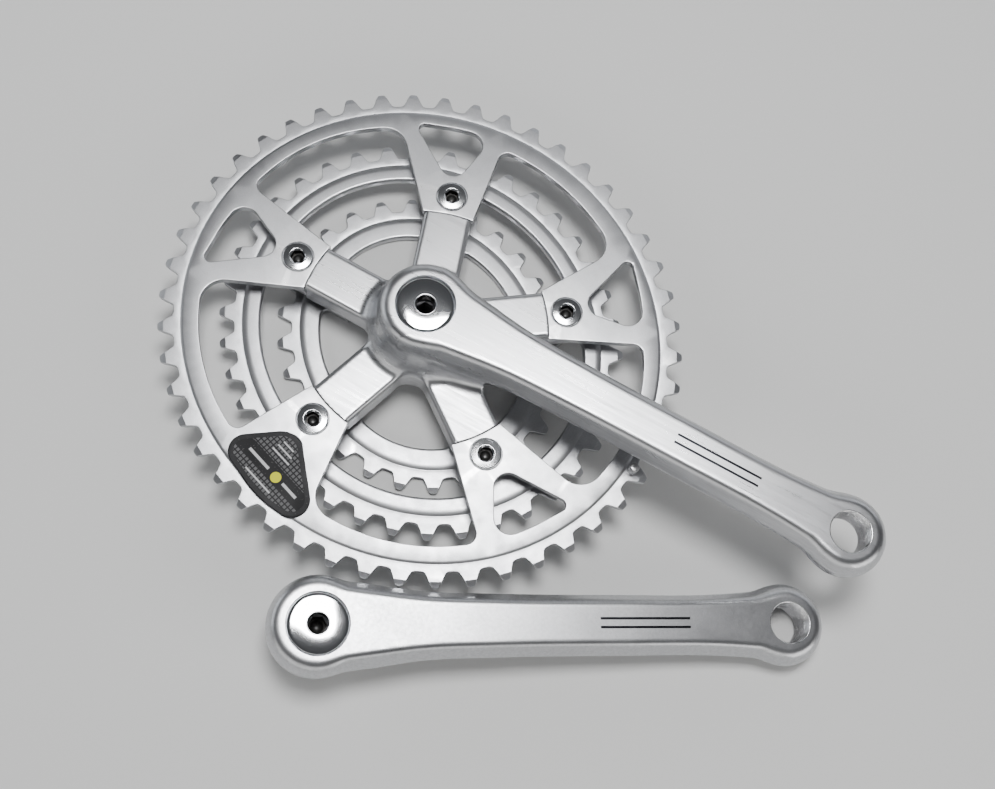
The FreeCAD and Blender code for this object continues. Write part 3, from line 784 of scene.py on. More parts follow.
def hex_socket(half_flats, mouth, floor):
    """Rows of a hexagon socket from its chamfered mouth down to a drilled bottom."""
    return [(half_flats * 1.155 + 0.25, mouth), (half_flats, mouth - 0.3, "hex"),
            (half_flats, floor, "hex"), (half_flats * 0.8, floor - 0.05), (0.0, floor - half_flats * 0.7)]


def thread_sleeve(face, depth, chamfer_radius):
    """Threaded wall of a pedal hole, with a lead-in chamfer at both ends."""
    sides, per_turn = 96, 10
    low, high = face - depth + 0.25, face - 0.25
    count = int((high - low) / THREAD_PITCH * per_turn)
    levels = np.linspace(low, high, count)
    angles = np.arange(sides) * 2.0 * math.pi / sides
    phase = (levels[:, None] / THREAD_PITCH - angles[None, :] / (2.0 * math.pi)) % 1.0
    tooth = np.clip(np.abs(phase - 0.5) * 2.6 - 0.15, 0.0, 1.0)
    radius = THREAD_CREST_RADIUS + 0.45 * tooth
    lead = np.maximum(chamfer_radius - (high - levels), chamfer_radius - (levels - low))
    radius = np.minimum(np.maximum(radius, lead[:, None]), PEDAL_HOLE_RADIUS - 0.05)
    inner = np.stack([radius * np.cos(angles), radius * np.sin(angles),
                      np.broadcast_to(levels[:, None], radius.shape)], -1).reshape(-1, 3)
    wall = PEDAL_HOLE_RADIUS + 0.25
    outer = [np.column_stack([wall * np.cos(angles), wall * np.sin(angles), np.full(sides, z)])
             for z in (low, high)]
    vertices = np.concatenate([inner] + outer)
    order = [list(range(k * sides, (k + 1) * sides)) for k in range(count + 2)]
    order = order[:count] + [order[count + 1], order[count]]
    faces = []
    for one, two in zip(order, order[1:] + order[:1]):
        for k in range(sides):
            n = (k + 1) % sides
            faces.append((one[k], two[k], two[n], one[n]))
    return vertices, faces


# ---------------------------------------------------------------- finishes


def put(tree, kind, inputs=(), **settings):
    """New shader node; an input is a value or another node's output socket."""
    made = tree.nodes.new("ShaderNode" + kind)
    for key, setting in settings.items():
        setattr(made, key, setting)
    for key, given in dict(inputs).items():
        if isinstance(given, bpy.types.NodeSocket):
            tree.links.new(given, made.inputs[key])
        else:
            made.inputs[key].default_value = given
    return made


def maths(tree, operation, a, b=0.0, c=0.0, clamp=False):
    return put(tree, "Math", {0: a, 1: b, 2: c}, operation=operation, use_clamp=clamp).outputs[0]


def spread(tree, value, low, high, to_low=0.0, to_high=1.0):
    made = put(tree, "MapRange", {"Value": value, "From Min": low, "From Max": high,
                                  "To Min": to_low, "To Max": to_high})
    return made.outputs["Result"]


def blend_colour(tree, share, one, two):
    made = put(tree, "Mix", {0: share, 6: one, 7: two}, data_type="RGBA")
    return made.outputs[2]


def noise(tree, place, scale, detail=3.0, roughness=0.55):
    made = put(tree, "TexNoise", {"Vector": place, "Scale": scale, "Detail": detail,
                                  "Roughness": roughness})
    return made.outputs[0]


def new_group(name, inputs, outputs):
    tree = bpy.data.node_groups.new(name, "ShaderNodeTree")
    for label, kind, default in inputs:
        socket = tree.interface.new_socket(label, in_out="INPUT", socket_type=kind)
        if default is not None:
            socket.default_value = default
    for label, kind in outputs:
        tree.interface.new_socket(label, in_out="OUTPUT", socket_type=kind)
    return tree, tree.nodes.new("NodeGroupInput"), tree.nodes.new("NodeGroupOutput")


FLOAT, VECTOR, COLOUR = "NodeSocketFloat", "NodeSocketVector", "NodeSocketColor"


def brushing_group():
    """Long fine lines left by a brushing wheel; Stretch is lines per metre along each axis."""
    tree, given, result = new_group("brushed_lines", [
        ("Place", VECTOR, None), ("Stretch", VECTOR, (60.0, 3000.0, 3000.0))],
        [("Line", FLOAT), ("Height", FLOAT)])
    place = put(tree, "VectorMath", {0: given.outputs["Place"], 1: given.outputs["Stretch"]},
                operation="MULTIPLY").outputs[0]
    broad = noise(tree, place, 0.32, 2.0)
    fine = noise(tree, place, 1.0, 4.0, 0.65)
    both = maths(tree, "MULTIPLY_ADD", broad, 0.55, maths(tree, "MULTIPLY", fine, 0.45))
    tree.links.new(spread(tree, both, 0.36, 0.64), result.inputs["Line"])
    tree.links.new(fine, result.inputs["Height"])
    return tree


def turning_group():
    """Rings left by a cutting tool about the axis at Centre."""
    tree, given, result = new_group("turned_lines", [
        ("Place", VECTOR, None), ("Centre", VECTOR, (0.0, 0.0, 0.0)), ("Lines", FLOAT, 2600.0)],
        [("Line", FLOAT), ("Height", FLOAT)])
    from_axis = put(tree, "VectorMath", {0: given.outputs["Place"], 1: given.outputs["Centre"]},
                    operation="SUBTRACT").outputs[0]
    parts = put(tree, "SeparateXYZ", {0: from_axis})
    flat = put(tree, "CombineXYZ", {0: parts.outputs[0], 1: parts.outputs[1]})
    radius = put(tree, "VectorMath", {0: flat.outputs[0]}, operation="LENGTH").outputs["Value"]
    row = maths(tree, "MULTIPLY", radius, given.outputs["Lines"])
    wander = noise(tree, from_axis, 30.0, 1.0)
    spot = put(tree, "CombineXYZ", {0: row, 1: wander})
    line = noise(tree, spot.outputs[0], 1.0, 3.0, 0.6)
    tree.links.new(spread(tree, line, 0.34, 0.66), result.inputs["Line"])
    tree.links.new(line, result.inputs["Height"])
    return tree


def blasting_group():
    """Even fine grain of a blasted and anodised face."""
    tree, given, result = new_group("blasted_grain", [
        ("Place", VECTOR, None), ("Grain", FLOAT, 2200.0)],
        [("Line", FLOAT), ("Height", FLOAT)])
    fine = noise(tree, given.outputs["Place"], given.outputs["Grain"], 2.0, 0.6)
    broad = noise(tree, given.outputs["Place"], 180.0, 3.0, 0.6)
    both = maths(tree, "MULTIPLY_ADD", broad, 0.5, maths(tree, "MULTIPLY", fine, 0.5))
    tree.links.new(spread(tree, both, 0.35, 0.65), result.inputs["Line"])
    tree.links.new(fine, result.inputs["Height"])
    return tree


def handling_group():
    """Sparse hairline scratches and soft smudges from handling."""
    tree, given, result = new_group("handling_marks", [
        ("Place", VECTOR, None), ("Amount", FLOAT, 0.5)], [("Scratch", FLOAT), ("Smudge", FLOAT)])
    total = None
    for turn, length in ((0.5, 130.0), (2.1, 160.0), (-0.9, 110.0)):
        turned_place = put(tree, "VectorRotate", {"Vector": given.outputs["Place"], "Angle": turn})
        along = put(tree, "VectorMath", {0: turned_place.outputs[0], 1: (length, 3200.0, 900.0)},
                    operation="MULTIPLY").outputs[0]
        hair = spread(tree, noise(tree, along, 1.0, 1.0), 0.735, 0.80)
        total = hair if total is None else maths(tree, "MAXIMUM", total, hair)
    where = spread(tree, noise(tree, given.outputs["Place"], 55.0, 2.0), 0.45, 0.62)
    scratch = maths(tree, "MULTIPLY", maths(tree, "MULTIPLY", total, where), given.outputs["Amount"])
    tree.links.new(scratch, result.inputs["Scratch"])
    smudge = spread(tree, noise(tree, given.outputs["Place"], 38.0, 5.0, 0.62), 0.42, 0.72)
    tree.links.new(maths(tree, "MULTIPLY", smudge, given.outputs["Amount"]), result.inputs["Smudge"])
    return tree


def edge_group():
    """Where an edge is rubbed bright and where a hollow is made darker."""
    tree, given, result = new_group("edge_rub", [
        ("Place", VECTOR, None)], [("Rub", FLOAT), ("Hollow Darkening", FLOAT)])
    point = put(tree, "NewGeometry").outputs["Pointiness"]
    patchy = noise(tree, given.outputs["Place"], 420.0, 3.0)
    edge = spread(tree, point, 0.52, 0.60)
    hollow = spread(tree, point, 0.48, 0.42)
    rub = maths(tree, "MULTIPLY", edge, spread(tree, patchy, 0.3, 0.6, 0.55, 1.0))
    tree.links.new(rub, result.inputs["Rub"])
    # Darker in hollows, where the pointiness is low.
    hollow_darkening = maths(tree, "MULTIPLY", hollow, spread(tree, patchy, 0.35, 0.65, 0.4, 1.0))
    tree.links.new(hollow_darkening, result.inputs["Hollow Darkening"])
    return tree


def dust_group():
    """Fine dust that settles on faces that look up."""
    tree, given, result = new_group("settled_dust", [
        ("Place", VECTOR, None), ("Amount", FLOAT, 0.3)], [("Dust", FLOAT)])
    normal = put(tree, "SeparateXYZ", {0: put(tree, "NewGeometry").outputs["Normal"]}).outputs[2]
    up = spread(tree, normal, 0.3, 0.95)
    specks = spread(tree, noise(tree, given.outputs["Place"], 1500.0, 1.0), 0.68, 0.76)
    veil = spread(tree, noise(tree, given.outputs["Place"], 26.0, 3.0), 0.4, 0.8)
    mixed = maths(tree, "MULTIPLY_ADD", specks, 0.7, maths(tree, "MULTIPLY", veil, 0.3))
    dust = maths(tree, "MULTIPLY", maths(tree, "MULTIPLY", mixed, up), given.outputs["Amount"])
    tree.links.new(dust, result.inputs["Dust"])
    return tree


def bar_group():
    """Mask of one straight printed bar in a plane, in millimetres."""
    tree, given, result = new_group("printed_bar", [
        ("Along", FLOAT, 0.0), ("Across", FLOAT, 0.0), ("Middle Along", FLOAT, 0.0),
        ("Middle Across", FLOAT, 0.0), ("Half Length", FLOAT, 10.0), ("Half Width", FLOAT, 0.3)],
        [("Mask", FLOAT)])
    masks = []
    for spot, middle, half in (("Along", "Middle Along", "Half Length"),
                               ("Across", "Middle Across", "Half Width")):
        off = maths(tree, "ABSOLUTE", maths(tree, "SUBTRACT", given.outputs[spot], given.outputs[middle]))
        inside = maths(tree, "SUBTRACT", given.outputs[half], off)
        masks.append(spread(tree, inside, -0.04, 0.04))
    tree.links.new(maths(tree, "MULTIPLY", *masks), result.inputs["Mask"])
    return tree


GROUPS = {
    "brushed": brushing_group(),
    "turned": turning_group(),
    "blasted": blasting_group(),
    "handling": handling_group(),
    "edge": edge_group(),
    "dust": dust_group(),
    "bar": bar_group(),
}


def use_group(tree, key, inputs):
    return put(tree, "Group", inputs, node_tree=GROUPS[key])


def new_material(name):
    material = bpy.data.materials.new(name)
    material.use_nodes = True
    tree = material.node_tree
    tree.nodes.clear()
    shader = put(tree, "BsdfPrincipled")
    output = put(tree, "OutputMaterial")
    tree.links.new(shader.outputs[0], output.inputs[0])
    place = put(tree, "TexCoord").outputs["Object"]
    return material, tree, shader, place


def finish(tree, shader, colour, rough, height, strength, distance=0.00003):
    """Connects colour, roughness and fine relief to the shader."""
    tree.links.new(colour, shader.inputs["Base Color"])
    tree.links.new(rough, shader.inputs["Roughness"])
    relief = put(tree, "Bump", {"Height": height, "Strength": strength, "Distance": distance})
    tree.links.new(relief.outputs[0], shader.inputs["Normal"])


def metal(name, tone, low_tone, grain, grain_inputs, rough, rough_swing, bump, marks=0.5,
          rub_tone=None, dust=0.25, printed=None, rubbed=True):
    """Worked metal: a grain pattern, handling marks, rubbed edges and a little dust."""
    material, tree, shader, place = new_material(name)
    lines = use_group(tree, grain, dict(grain_inputs, Place=place))
    handled = use_group(tree, "handling", {"Place": place, "Amount": marks})
    edge = use_group(tree, "edge", {"Place": place}) if rubbed else None
    settled = use_group(tree, "dust", {"Place": place, "Amount": dust})
    colour = blend_colour(tree, lines.outputs["Line"], low_tone, tone)
    colour = blend_colour(tree, maths(tree, "MULTIPLY", handled.outputs["Smudge"], 0.25), colour,
                          tuple(0.82 * c for c in low_tone[:3]) + (1.0,))
    if rubbed:
        colour = blend_colour(tree, edge.outputs["Rub"], colour, rub_tone or (0.86, 0.86, 0.87, 1.0))
        # Hollows are mixed towards a near-black brown.
        colour = blend_colour(tree, maths(tree, "MULTIPLY", edge.outputs["Hollow Darkening"], 0.6), colour,
                              (0.16, 0.15, 0.14, 1.0))
    colour = blend_colour(tree, settled.outputs["Dust"], colour, (0.55, 0.53, 0.50, 1.0))
    if printed is not None:
        colour = printed(tree, place, colour)
    value = maths(tree, "MULTIPLY_ADD", lines.outputs["Line"], -rough_swing, rough + rough_swing * 0.5)
    value = maths(tree, "MULTIPLY_ADD", handled.outputs["Smudge"], 0.10, value)
    if rubbed:
        value = maths(tree, "MULTIPLY_ADD", edge.outputs["Rub"], -0.08, value)
    value = maths(tree, "MULTIPLY_ADD", settled.outputs["Dust"], 0.3, value, clamp=True)
    height = maths(tree, "MULTIPLY_ADD", handled.outputs["Scratch"], -0.8, lines.outputs["Height"])
    finish(tree, shader, colour, value, height, bump)
    shader.inputs["Metallic"].default_value = 1.0
    return material


def plane_axes(tree, place, turn, x=0.0, y=0.0):
    """Millimetre positions along and across a direction in the bench plane."""
    parts = put(tree, "SeparateXYZ", {0: place})
    c, s = math.cos(math.radians(turn)), math.sin(math.radians(turn))
    px = maths(tree, "MULTIPLY_ADD", parts.outputs[0], 1000.0, -x)
    py = maths(tree, "MULTIPLY_ADD", parts.outputs[1], 1000.0, -y)
    along = maths(tree, "MULTIPLY_ADD", px, c, maths(tree, "MULTIPLY", py, s))
    across = maths(tree, "MULTIPLY_ADD", px, -s, maths(tree, "MULTIPLY", py, c))
    return along, across


def stripe_print(turn, x, y, middle, half_length):
    """A plain pair of dark lines on the face of an arm."""

    def printed(tree, place, colour):
        along, across = plane_axes(tree, place, turn, x, y)
        up = put(tree, "SeparateXYZ", {0: put(tree, "NewGeometry").outputs["Normal"]}).outputs[2]
        face = spread(tree, up, 0.90, 0.96)
        for side in (1.55, -1.55):
            bar = use_group(tree, "bar", {
                "Along": along, "Across": across, "Middle Along": middle, "Middle Across": side,
                "Half Length": half_length, "Half Width": 0.42})
            mask = maths(tree, "MULTIPLY", bar.outputs[0], face)
            colour = blend_colour(tree, mask, colour, (0.03, 0.03, 0.035, 1.0))
        return colour

    return printed


def badge_finish():
    """Printed badge: a grey grid, a plain dark band, light bars and a yellow dot."""
    material, tree, shader, place = new_material("badge_print")
    along, across = plane_axes(tree, place, 252.0)
    pitch = 1.6
    cell = []
    for axis in (along, across):
        wave = maths(tree, "ABSOLUTE", maths(tree, "SUBTRACT", maths(
            tree, "FRACT", maths(tree, "MULTIPLY", axis, 1.0 / pitch)), 0.5))
        cell.append(spread(tree, wave, 0.40, 0.30))
    squares = maths(tree, "MULTIPLY", *cell)
    off_band = maths(tree, "ABSOLUTE", maths(tree, "SUBTRACT", along, 78.6))
    squares = maths(tree, "MULTIPLY", squares, spread(tree, off_band, 2.8, 3.0))
    mottled = noise(tree, place, 700.0, 2.0)
    grey = blend_colour(tree, mottled, (0.13, 0.13, 0.135, 1.0), (0.20, 0.20, 0.205, 1.0))
    colour = blend_colour(tree, squares, (0.018, 0.018, 0.020, 1.0), grey)
    # Each bar is its middle along and across, then half its length and half its width.
    bars = [(68.4, 2.6, 2.6, 0.30), (70.6, 3.0, 3.6, 0.30), (72.8, 3.4, 4.4, 0.30),
            (84.6, 4.5, 6.5, 0.32), (79.0, 15.0, 3.6, 0.55), (79.0, -1.2, 5.2, 0.55)]
    for at_along, at_across, half_length, half_width in bars:
        bar = use_group(tree, "bar", {
            "Along": across, "Across": along, "Middle Along": at_across, "Middle Across": at_along,
            "Half Length": half_length, "Half Width": half_width})
        colour = blend_colour(tree, bar.outputs[0], colour, (0.62, 0.62, 0.63, 1.0))
    du = maths(tree, "SUBTRACT", along, 79.2)
    dv = maths(tree, "SUBTRACT", across, 8.1)
    gap = maths(tree, "SQRT", maths(tree, "MULTIPLY_ADD", du, du, maths(tree, "MULTIPLY", dv, dv)))
    dot = spread(tree, gap, 2.08, 1.98)
    colour = blend_colour(tree, dot, colour, (0.72, 0.72, 0.06, 1.0))
    handled = use_group(tree, "handling", {"Place": place, "Amount": 0.6})
    settled = use_group(tree, "dust", {"Place": place, "Amount": 0.35})
    colour = blend_colour(tree, settled.outputs["Dust"], colour, (0.42, 0.41, 0.40, 1.0))
    rough = maths(tree, "MULTIPLY_ADD", handled.outputs["Smudge"], 0.25, 0.45)
    rough = maths(tree, "MULTIPLY_ADD", squares, 0.10, rough)
    height = maths(tree, "MULTIPLY_ADD", handled.outputs["Scratch"], -1.0, squares)
    finish(tree, shader, colour, rough, height, 0.25, 0.00004)
    shader.inputs["Specular IOR Level"].default_value = 0.25
    return material


def border_finish():
    """Black moulded edge of the badge, lightly marked."""
    material, tree, shader, place = new_material("badge_border")
    grain = use_group(tree, "blasted", {"Place": place, "Grain": 1800.0})
    handled = use_group(tree, "handling", {"Place": place, "Amount": 0.6})
    settled = use_group(tree, "dust", {"Place": place, "Amount": 0.3})
    colour = blend_colour(tree, grain.outputs["Line"], (0.012, 0.012, 0.014, 1.0),
                          (0.024, 0.024, 0.027, 1.0))
    colour = blend_colour(tree, settled.outputs["Dust"], colour, (0.30, 0.30, 0.29, 1.0))
    rough = maths(tree, "MULTIPLY_ADD", handled.outputs["Smudge"], 0.2, 0.42)
    finish(tree, shader, colour, rough, grain.outputs["Height"], 0.2)
    shader.inputs["Specular IOR Level"].default_value = 0.3
    return material


def washer_finish():
    """Milky moulded plastic of the thrust washers."""
    material, tree, shader, place = new_material("washer_plastic")
    lines = use_group(tree, "turned", {"Place": place, "Lines": 1800.0})
    handled = use_group(tree, "handling", {"Place": place, "Amount": 0.7})
    colour = blend_colour(tree, lines.outputs["Line"], (0.55, 0.54, 0.50, 1.0), (0.68, 0.67, 0.63, 1.0))
    colour = blend_colour(tree, handled.outputs["Smudge"], colour, (0.36, 0.34, 0.30, 1.0))
    rough = maths(tree, "MULTIPLY_ADD", handled.outputs["Smudge"], 0.2, 0.42)
    finish(tree, shader, colour, rough, lines.outputs["Height"], 0.3)
    return material


def bench_finish():
    """Pale matt paper sweep under the parts."""
    material, tree, shader, place = new_material("bench_paper")
    fibre = noise(tree, place, 900.0, 4.0, 0.6)
    broad = noise(tree, place, 3.0, 2.0)
    mottled = maths(tree, "MULTIPLY_ADD", fibre, 0.4, maths(tree, "MULTIPLY", broad, 0.6))
    colour = blend_colour(tree, mottled, (0.72, 0.72, 0.715, 1.0), (0.79, 0.79, 0.785, 1.0))
    tree.links.new(colour, shader.inputs["Base Color"])
    shader.inputs["Roughness"].default_value = 0.85
    relief = put(tree, "Bump", {"Height": fibre, "Strength": 0.15, "Distance": 0.0001})
    tree.links.new(relief.outputs[0], shader.inputs["Normal"])
    return material


LEFT_TURN = 29.8
LEFT_X = 21.5
LEFT_Y = -116.8

BRIGHT = (0.62, 0.625, 0.64, 1.0)
SILVER = (0.51, 0.515, 0.53, 1.0)
arm_alloy_right = metal("forged_alloy_right", BRIGHT, SILVER, "brushed",
                        {"Stretch": (70.0, 2600.0, 2600.0)}, 0.30, 0.10, 0.30,
                        printed=stripe_print(0.0, 0.0, 0.0, 118.0, 16.5), rubbed=False)
arm_alloy_left = metal("forged_alloy_left", BRIGHT, SILVER, "brushed",
                       {"Stretch": (2600.0, 2600.0, 2600.0)}, 0.30, 0.06, 0.25,
                       printed=stripe_print(LEFT_TURN, LEFT_X, LEFT_Y, 118.0, 16.5), rubbed=False)
ring_alloy = metal("blasted_ring_alloy", (0.56, 0.565, 0.58, 1.0), (0.46, 0.465, 0.48, 1.0), "blasted",
                   {"Grain": 2600.0}, 0.36, 0.08, 0.35)
thread_alloy = metal("cut_thread_alloy", (0.80, 0.80, 0.81, 1.0), (0.62, 0.62, 0.63, 1.0), "brushed",
                     {"Stretch": (900.0, 900.0, 4000.0)}, 0.28, 0.08, 0.2, dust=0.0)
chrome = metal("cap_chrome", (0.80, 0.81, 0.83, 1.0), (0.74, 0.75, 0.77, 1.0), "turned",
               {"Lines": 900.0}, 0.09, 0.03, 0.04, marks=0.8, dust=0.2)
bolt_chrome = metal("bolt_chrome", (0.72, 0.73, 0.75, 1.0), (0.62, 0.63, 0.65, 1.0), "blasted",
                    {"Grain": 1500.0}, 0.16, 0.05, 0.06, marks=0.7)
socket_steel = metal("crank_bolt_steel", (0.30, 0.30, 0.31, 1.0), (0.20, 0.20, 0.21, 1.0), "blasted",
                     {"Grain": 1200.0}, 0.34, 0.1, 0.2, rub_tone=(0.6, 0.6, 0.61, 1.0))
plain_steel = metal("plated_steel", (0.58, 0.58, 0.58, 1.0), (0.44, 0.44, 0.44, 1.0), "blasted",
                    {"Grain": 1400.0}, 0.32, 0.1, 0.2)
# Near-black metal for the inside of hex sockets: painted shade in the socket depths.
socket_painted_shade = metal("socket_painted_shade", (0.10, 0.10, 0.10, 1.0), (0.05, 0.05, 0.05, 1.0), "blasted",
                     {"Grain": 1600.0}, 0.55, 0.1, 0.3)
badge_print = badge_finish()
badge_border = border_finish()
washer_plastic = washer_finish()

# ---------------------------------------------------------------- the drive side

cell = 0.75
right_field = arm_field(RIGHT_HEIGHT, RIGHT_HUB_DEPTH, RIGHT_BORE_DEPTH, True)
points, faces, slopes = skin(right_field, (-63.3, -63.3, -1.4), (186.5, 63.3, 45.9), cell)
make_piece("right_crank_arm_forging", points, faces.tolist(), arm_alloy_right, "drive_side",
           ["right_crank_arm"], sharp=180.0, shading=slopes)

counterbore = (6.1, [(0.18, "front", 0.0), (0.0, "front", 0.18), (0.0, "front", 1.2),
                     (-1.05, "front", 1.2), (-1.05, "back", 0.2), (-0.85, "back", 0.0)])
plain_hole = (BOLT_HOLE_RADIUS, [(0.25, "front", 0.0), (0.0, "front", 0.25),
                                 (0.0, "back", 0.25), (0.25, "back", 0.0)])
back_seat = (4.15, [(0.25, "front", 0.0), (0.0, "front", 0.25), (0.0, "back", 1.9),
                    (1.65, "back", 1.9), (1.65, "back", 0.2), (1.85, "back", 0.0)])
for name, holes, hole_rows, crown, extra in (
        ("outer", BOLT_CIRCLE, counterbore, False, [tab_window(tab) for tab in TAB_ANGLES]),
        ("middle", BOLT_CIRCLE, plain_hole, True, []),
        ("inner", SMALL_CIRCLE, back_seat, True, [])):
    points, faces, bevels = build_ring(RINGS[name], holes, hole_rows, crown, extra)
    make_piece(name + "_oval_chainring", points, faces, ring_alloy, "drive_side",
               [name + "_chainring"], sharp=34.0, folds=bevels)

seat = OUTER_FRONT - 1.2
crown = OUTER_FRONT + 0.75
for index, tab in enumerate(TAB_ANGLES, 1):
    bolt_x, bolt_y = on_tab(BOLT_CIRCLE, 0.0, tab)
    small_x, small_y = on_tab(SMALL_CIRCLE, 0.0, tab)
    rows = [(0.0, 9.2)] + eased([(3.4, 9.2), (3.9, 9.7), (3.9, seat), (5.85, seat), (5.85, crown - 0.62),
                                 (5.5, crown - 0.32), (3.3, crown), (3.05, crown - 0.12)], 0.2)
    points, faces = turned(rows + hex_socket(2.5, crown - 0.3, crown - 3.4))
    # The walls and floor of the hex socket take the painted shade material.
    make_piece("chainring_bolt_head_%d" % index, placed(points, bolt_x, bolt_y, tab + 11.0 * index), faces,
               bolt_chrome, "drive_side", ["chainring_bolt_%d" % index], sharp=30.0,
               painted_shade_end=(socket_painted_shade, 3 * 96))
    low = RINGS["inner"]["back"]
    rows = eased([(3.85, 13.4), (3.85, low + 1.8), (5.6, low + 1.8), (5.6, low), (3.6, low)], 0.25)
    socket = [(r[0], 2 * low - r[1]) + tuple(r[2:]) for r in hex_socket(2.5, low - 0.05, low - 3.0)]
    points, faces = turned([(0.0, 13.9), (3.4, 13.9)] + rows + socket)
    # The floor of the hex socket takes the painted shade material.
    make_piece("inner_ring_bolt_head_%d" % index, placed(points, small_x, small_y, tab + 17.0 * index),
               [f[::-1] for f in faces], plain_steel, "drive_side",
               ["inner_ring_bolt_%d" % index], sharp=30.0, painted_shade_end=(socket_painted_shade, 2 * 96))
    top, foot = SPIDER_BACK, RINGS["inner"]["back"] + RING_THICKNESS
    rows = eased([(4.15, foot), (6.0, foot), (6.0, top), (4.15, top), (4.15, foot)], 0.25)[1:]
    points, faces = turned(rows, 72, True)
    make_piece("inner_ring_sleeve_%d" % index, placed(points, small_x, small_y), faces, ring_alloy,
               "drive_side", ["inner_ring_spacer_%d" % index])
    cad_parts["chainring_nut_%d" % index].data.materials.clear()
    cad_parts["chainring_nut_%d" % index].data.materials.append(plain_steel)

badge_tab = TAB_ANGLES[3]
badge_corners = [on_tab(61.1, 0.3, badge_tab), on_tab(85.6, -18.3, badge_tab),
                 on_tab(88.9, 9.0, badge_tab), on_tab(83.2, 34.6, badge_tab)]
badge_loop = metal_left(rounded_loop(badge_corners, (8.0, 6.2, 40.0, 6.5)), False)
badge_rows = worked_edge(0.4)[:4] + [(0.0, "back", 0.05), (0.3, "back", 0.0)]
level = np.zeros(len(badge_loop))
points, faces, _ = plate([(badge_loop, badge_rows, level)], [], OUTER_FRONT, BADGE_THICKNESS)
make_piece("chainring_badge_plate", points, faces, badge_border, "drive_side",
           ["chainring_badge"], sharp=30.0)
panel_loop = inset(badge_loop, 1.9)
panel_rows = [(0.05, "front", 0.0), (0.0, "front", 0.05), (0.0, "back", 0.0)]
points, faces, _ = plate([(panel_loop, panel_rows, level)], [], OUTER_FRONT + 1.26, 0.1)
make_piece("chainring_badge_print", points, faces, badge_print, "drive_side", sharp=30.0)

pin_x, pin_y = polar(95.2, -6.6)
foot = OUTER_FRONT - 0.45
tip = foot + 6.5
side_rows = eased([(1.8, foot), (1.8, tip), (0.001, tip)], 0.6)[:-1]
points, faces = turned([(0.0, foot)] + side_rows + [(0.0, tip)], 40)
make_piece("chain_guard_peg", placed(points, pin_x, pin_y), faces, plain_steel, "drive_side",
           ["chain_guard_pin"])

# ---------------------------------------------------------------- fixings of both arms


def fixing(side, height, shoulder, shank_length, cap_rise, bodies, place):
    """Extractor cap, crank bolt and thrust washer of one arm."""
    top = height + cap_rise
    cap_low = top - 4.2
    hole = 3.55
    dome = [(10.1 - k * 0.745, top - 0.42 + 0.37 * (1.0 - (1.0 - k / 8.0) ** 2)) for k in range(9)]
    wall = eased([(hole, cap_low), (11.0, cap_low), (11.0, top - 1.5), (10.55, top - 1.1),
                  (10.45, top - 0.65)], 0.16)[1:]
    lip = eased([dome[-1], (hole + 0.5, top + 0.1), (hole + 0.25, top + 0.1), (hole, top - 0.25),
                 (hole, cap_low)], 0.08)[1:]
    points, faces = turned(wall + dome + lip, 128, True)
    make_piece(side + "_cap", place(points), faces, chrome, bodies[0],
               [side + "_extractor_cap"], sharp=32.0)
    washer_low = cap_low - 2.2
    crown = washer_low - 0.05
    tip = shoulder - shank_length
    flange_top = shoulder + 2.2
    body = eased([(3.3, tip), (4.0, tip + 0.8), (4.0, shoulder), (10.2, shoulder),
                  (10.2, flange_top), (7.6, flange_top), (7.2, flange_top + 0.4), (7.2, crown - 0.4),
                  (6.8, crown), (3.9, crown)], 0.2)
    points, faces = turned([(0.0, tip)] + body + hex_socket(3.0, crown - 0.02, shoulder + 0.2))
    # The floor of the hex socket takes the painted shade material.
    make_piece(side + "_socket_bolt", place(points), faces, socket_steel, bodies[2],
               [side + "_crank_bolt"], sharp=30.0, painted_shade_end=(socket_painted_shade, 2 * 96))
    inside, outside, washer_top = 4.3, 10.05, washer_low + 1.0
    rows = eased([(inside, washer_low), (outside, washer_low), (outside, washer_top),
                  (inside, washer_top), (inside, washer_low)], 0.2)[1:]
    points, faces = turned(rows, 72, True)
    make_piece(side + "_washer", place(points), faces, washer_plastic, bodies[1],
               [side + "_thrust_washer"])


def stay(points):
    return points


def sleeve_at_eye(height, place, name, body):
    points, faces = thread_sleeve(height + ARM_FLARE, PEDAL_END_DEPTH, 7.6)
    points = points + np.array([ARM_LENGTH, 0.0, 0.0])
    make_piece(name, place(points), faces, thread_alloy, body, sharp=60.0, weighted=False)


# The left arm leans on the edge of its boss and the underside of its pedal end.
contact_x = ARM_LENGTH + PEDAL_END_RADIUS - 3.4
contact_z = LEFT_HEIGHT + ARM_FLARE - PEDAL_END_DEPTH
boss_edge = 15.2
lean = math.atan2(contact_z, contact_x - boss_edge)
left_place = (Matrix.Translation((LEFT_X, LEFT_Y, BENCH_TOP + boss_edge * math.sin(lean)))
              @ Matrix.Rotation(math.radians(LEFT_TURN), 4, "Z") @ Matrix.Rotation(lean, 4, "Y"))
left_spin = np.array(left_place.to_3x3())
left_shift = np.array(left_place.translation)


def lay_left(points):
    return np.asarray(points) @ left_spin.T + left_shift


fixing("right", RIGHT_HEIGHT, RIGHT_HEIGHT - RIGHT_BORE_DEPTH, 14.0, -0.5,
       ("drive_side", "right_float", "right_bolt"), stay)
sleeve_at_eye(RIGHT_HEIGHT, stay, "right_pedal_thread_wall", "drive_side")

left_field = arm_field(LEFT_HEIGHT, LEFT_HUB_DEPTH, LEFT_BORE_DEPTH, False)
points, faces, slopes = skin(left_field, (-19.3, -19.3, -1.4), (186.5, 19.3, 32.4), cell)
make_piece("left_crank_arm_forging", lay_left(points), faces.tolist(), arm_alloy_left, "left_side",
           ["left_crank_arm"], sharp=180.0, shading=slopes @ left_spin.T)
fixing("left", LEFT_HEIGHT, LEFT_HEIGHT - LEFT_BORE_DEPTH, 10.0, 0.3,
       ("left_side", "left_float", "left_bolt"), lay_left)
sleeve_at_eye(LEFT_HEIGHT, lay_left, "left_pedal_thread_wall", "left_side")

# ---------------------------------------------------------------- bench, lights and camera

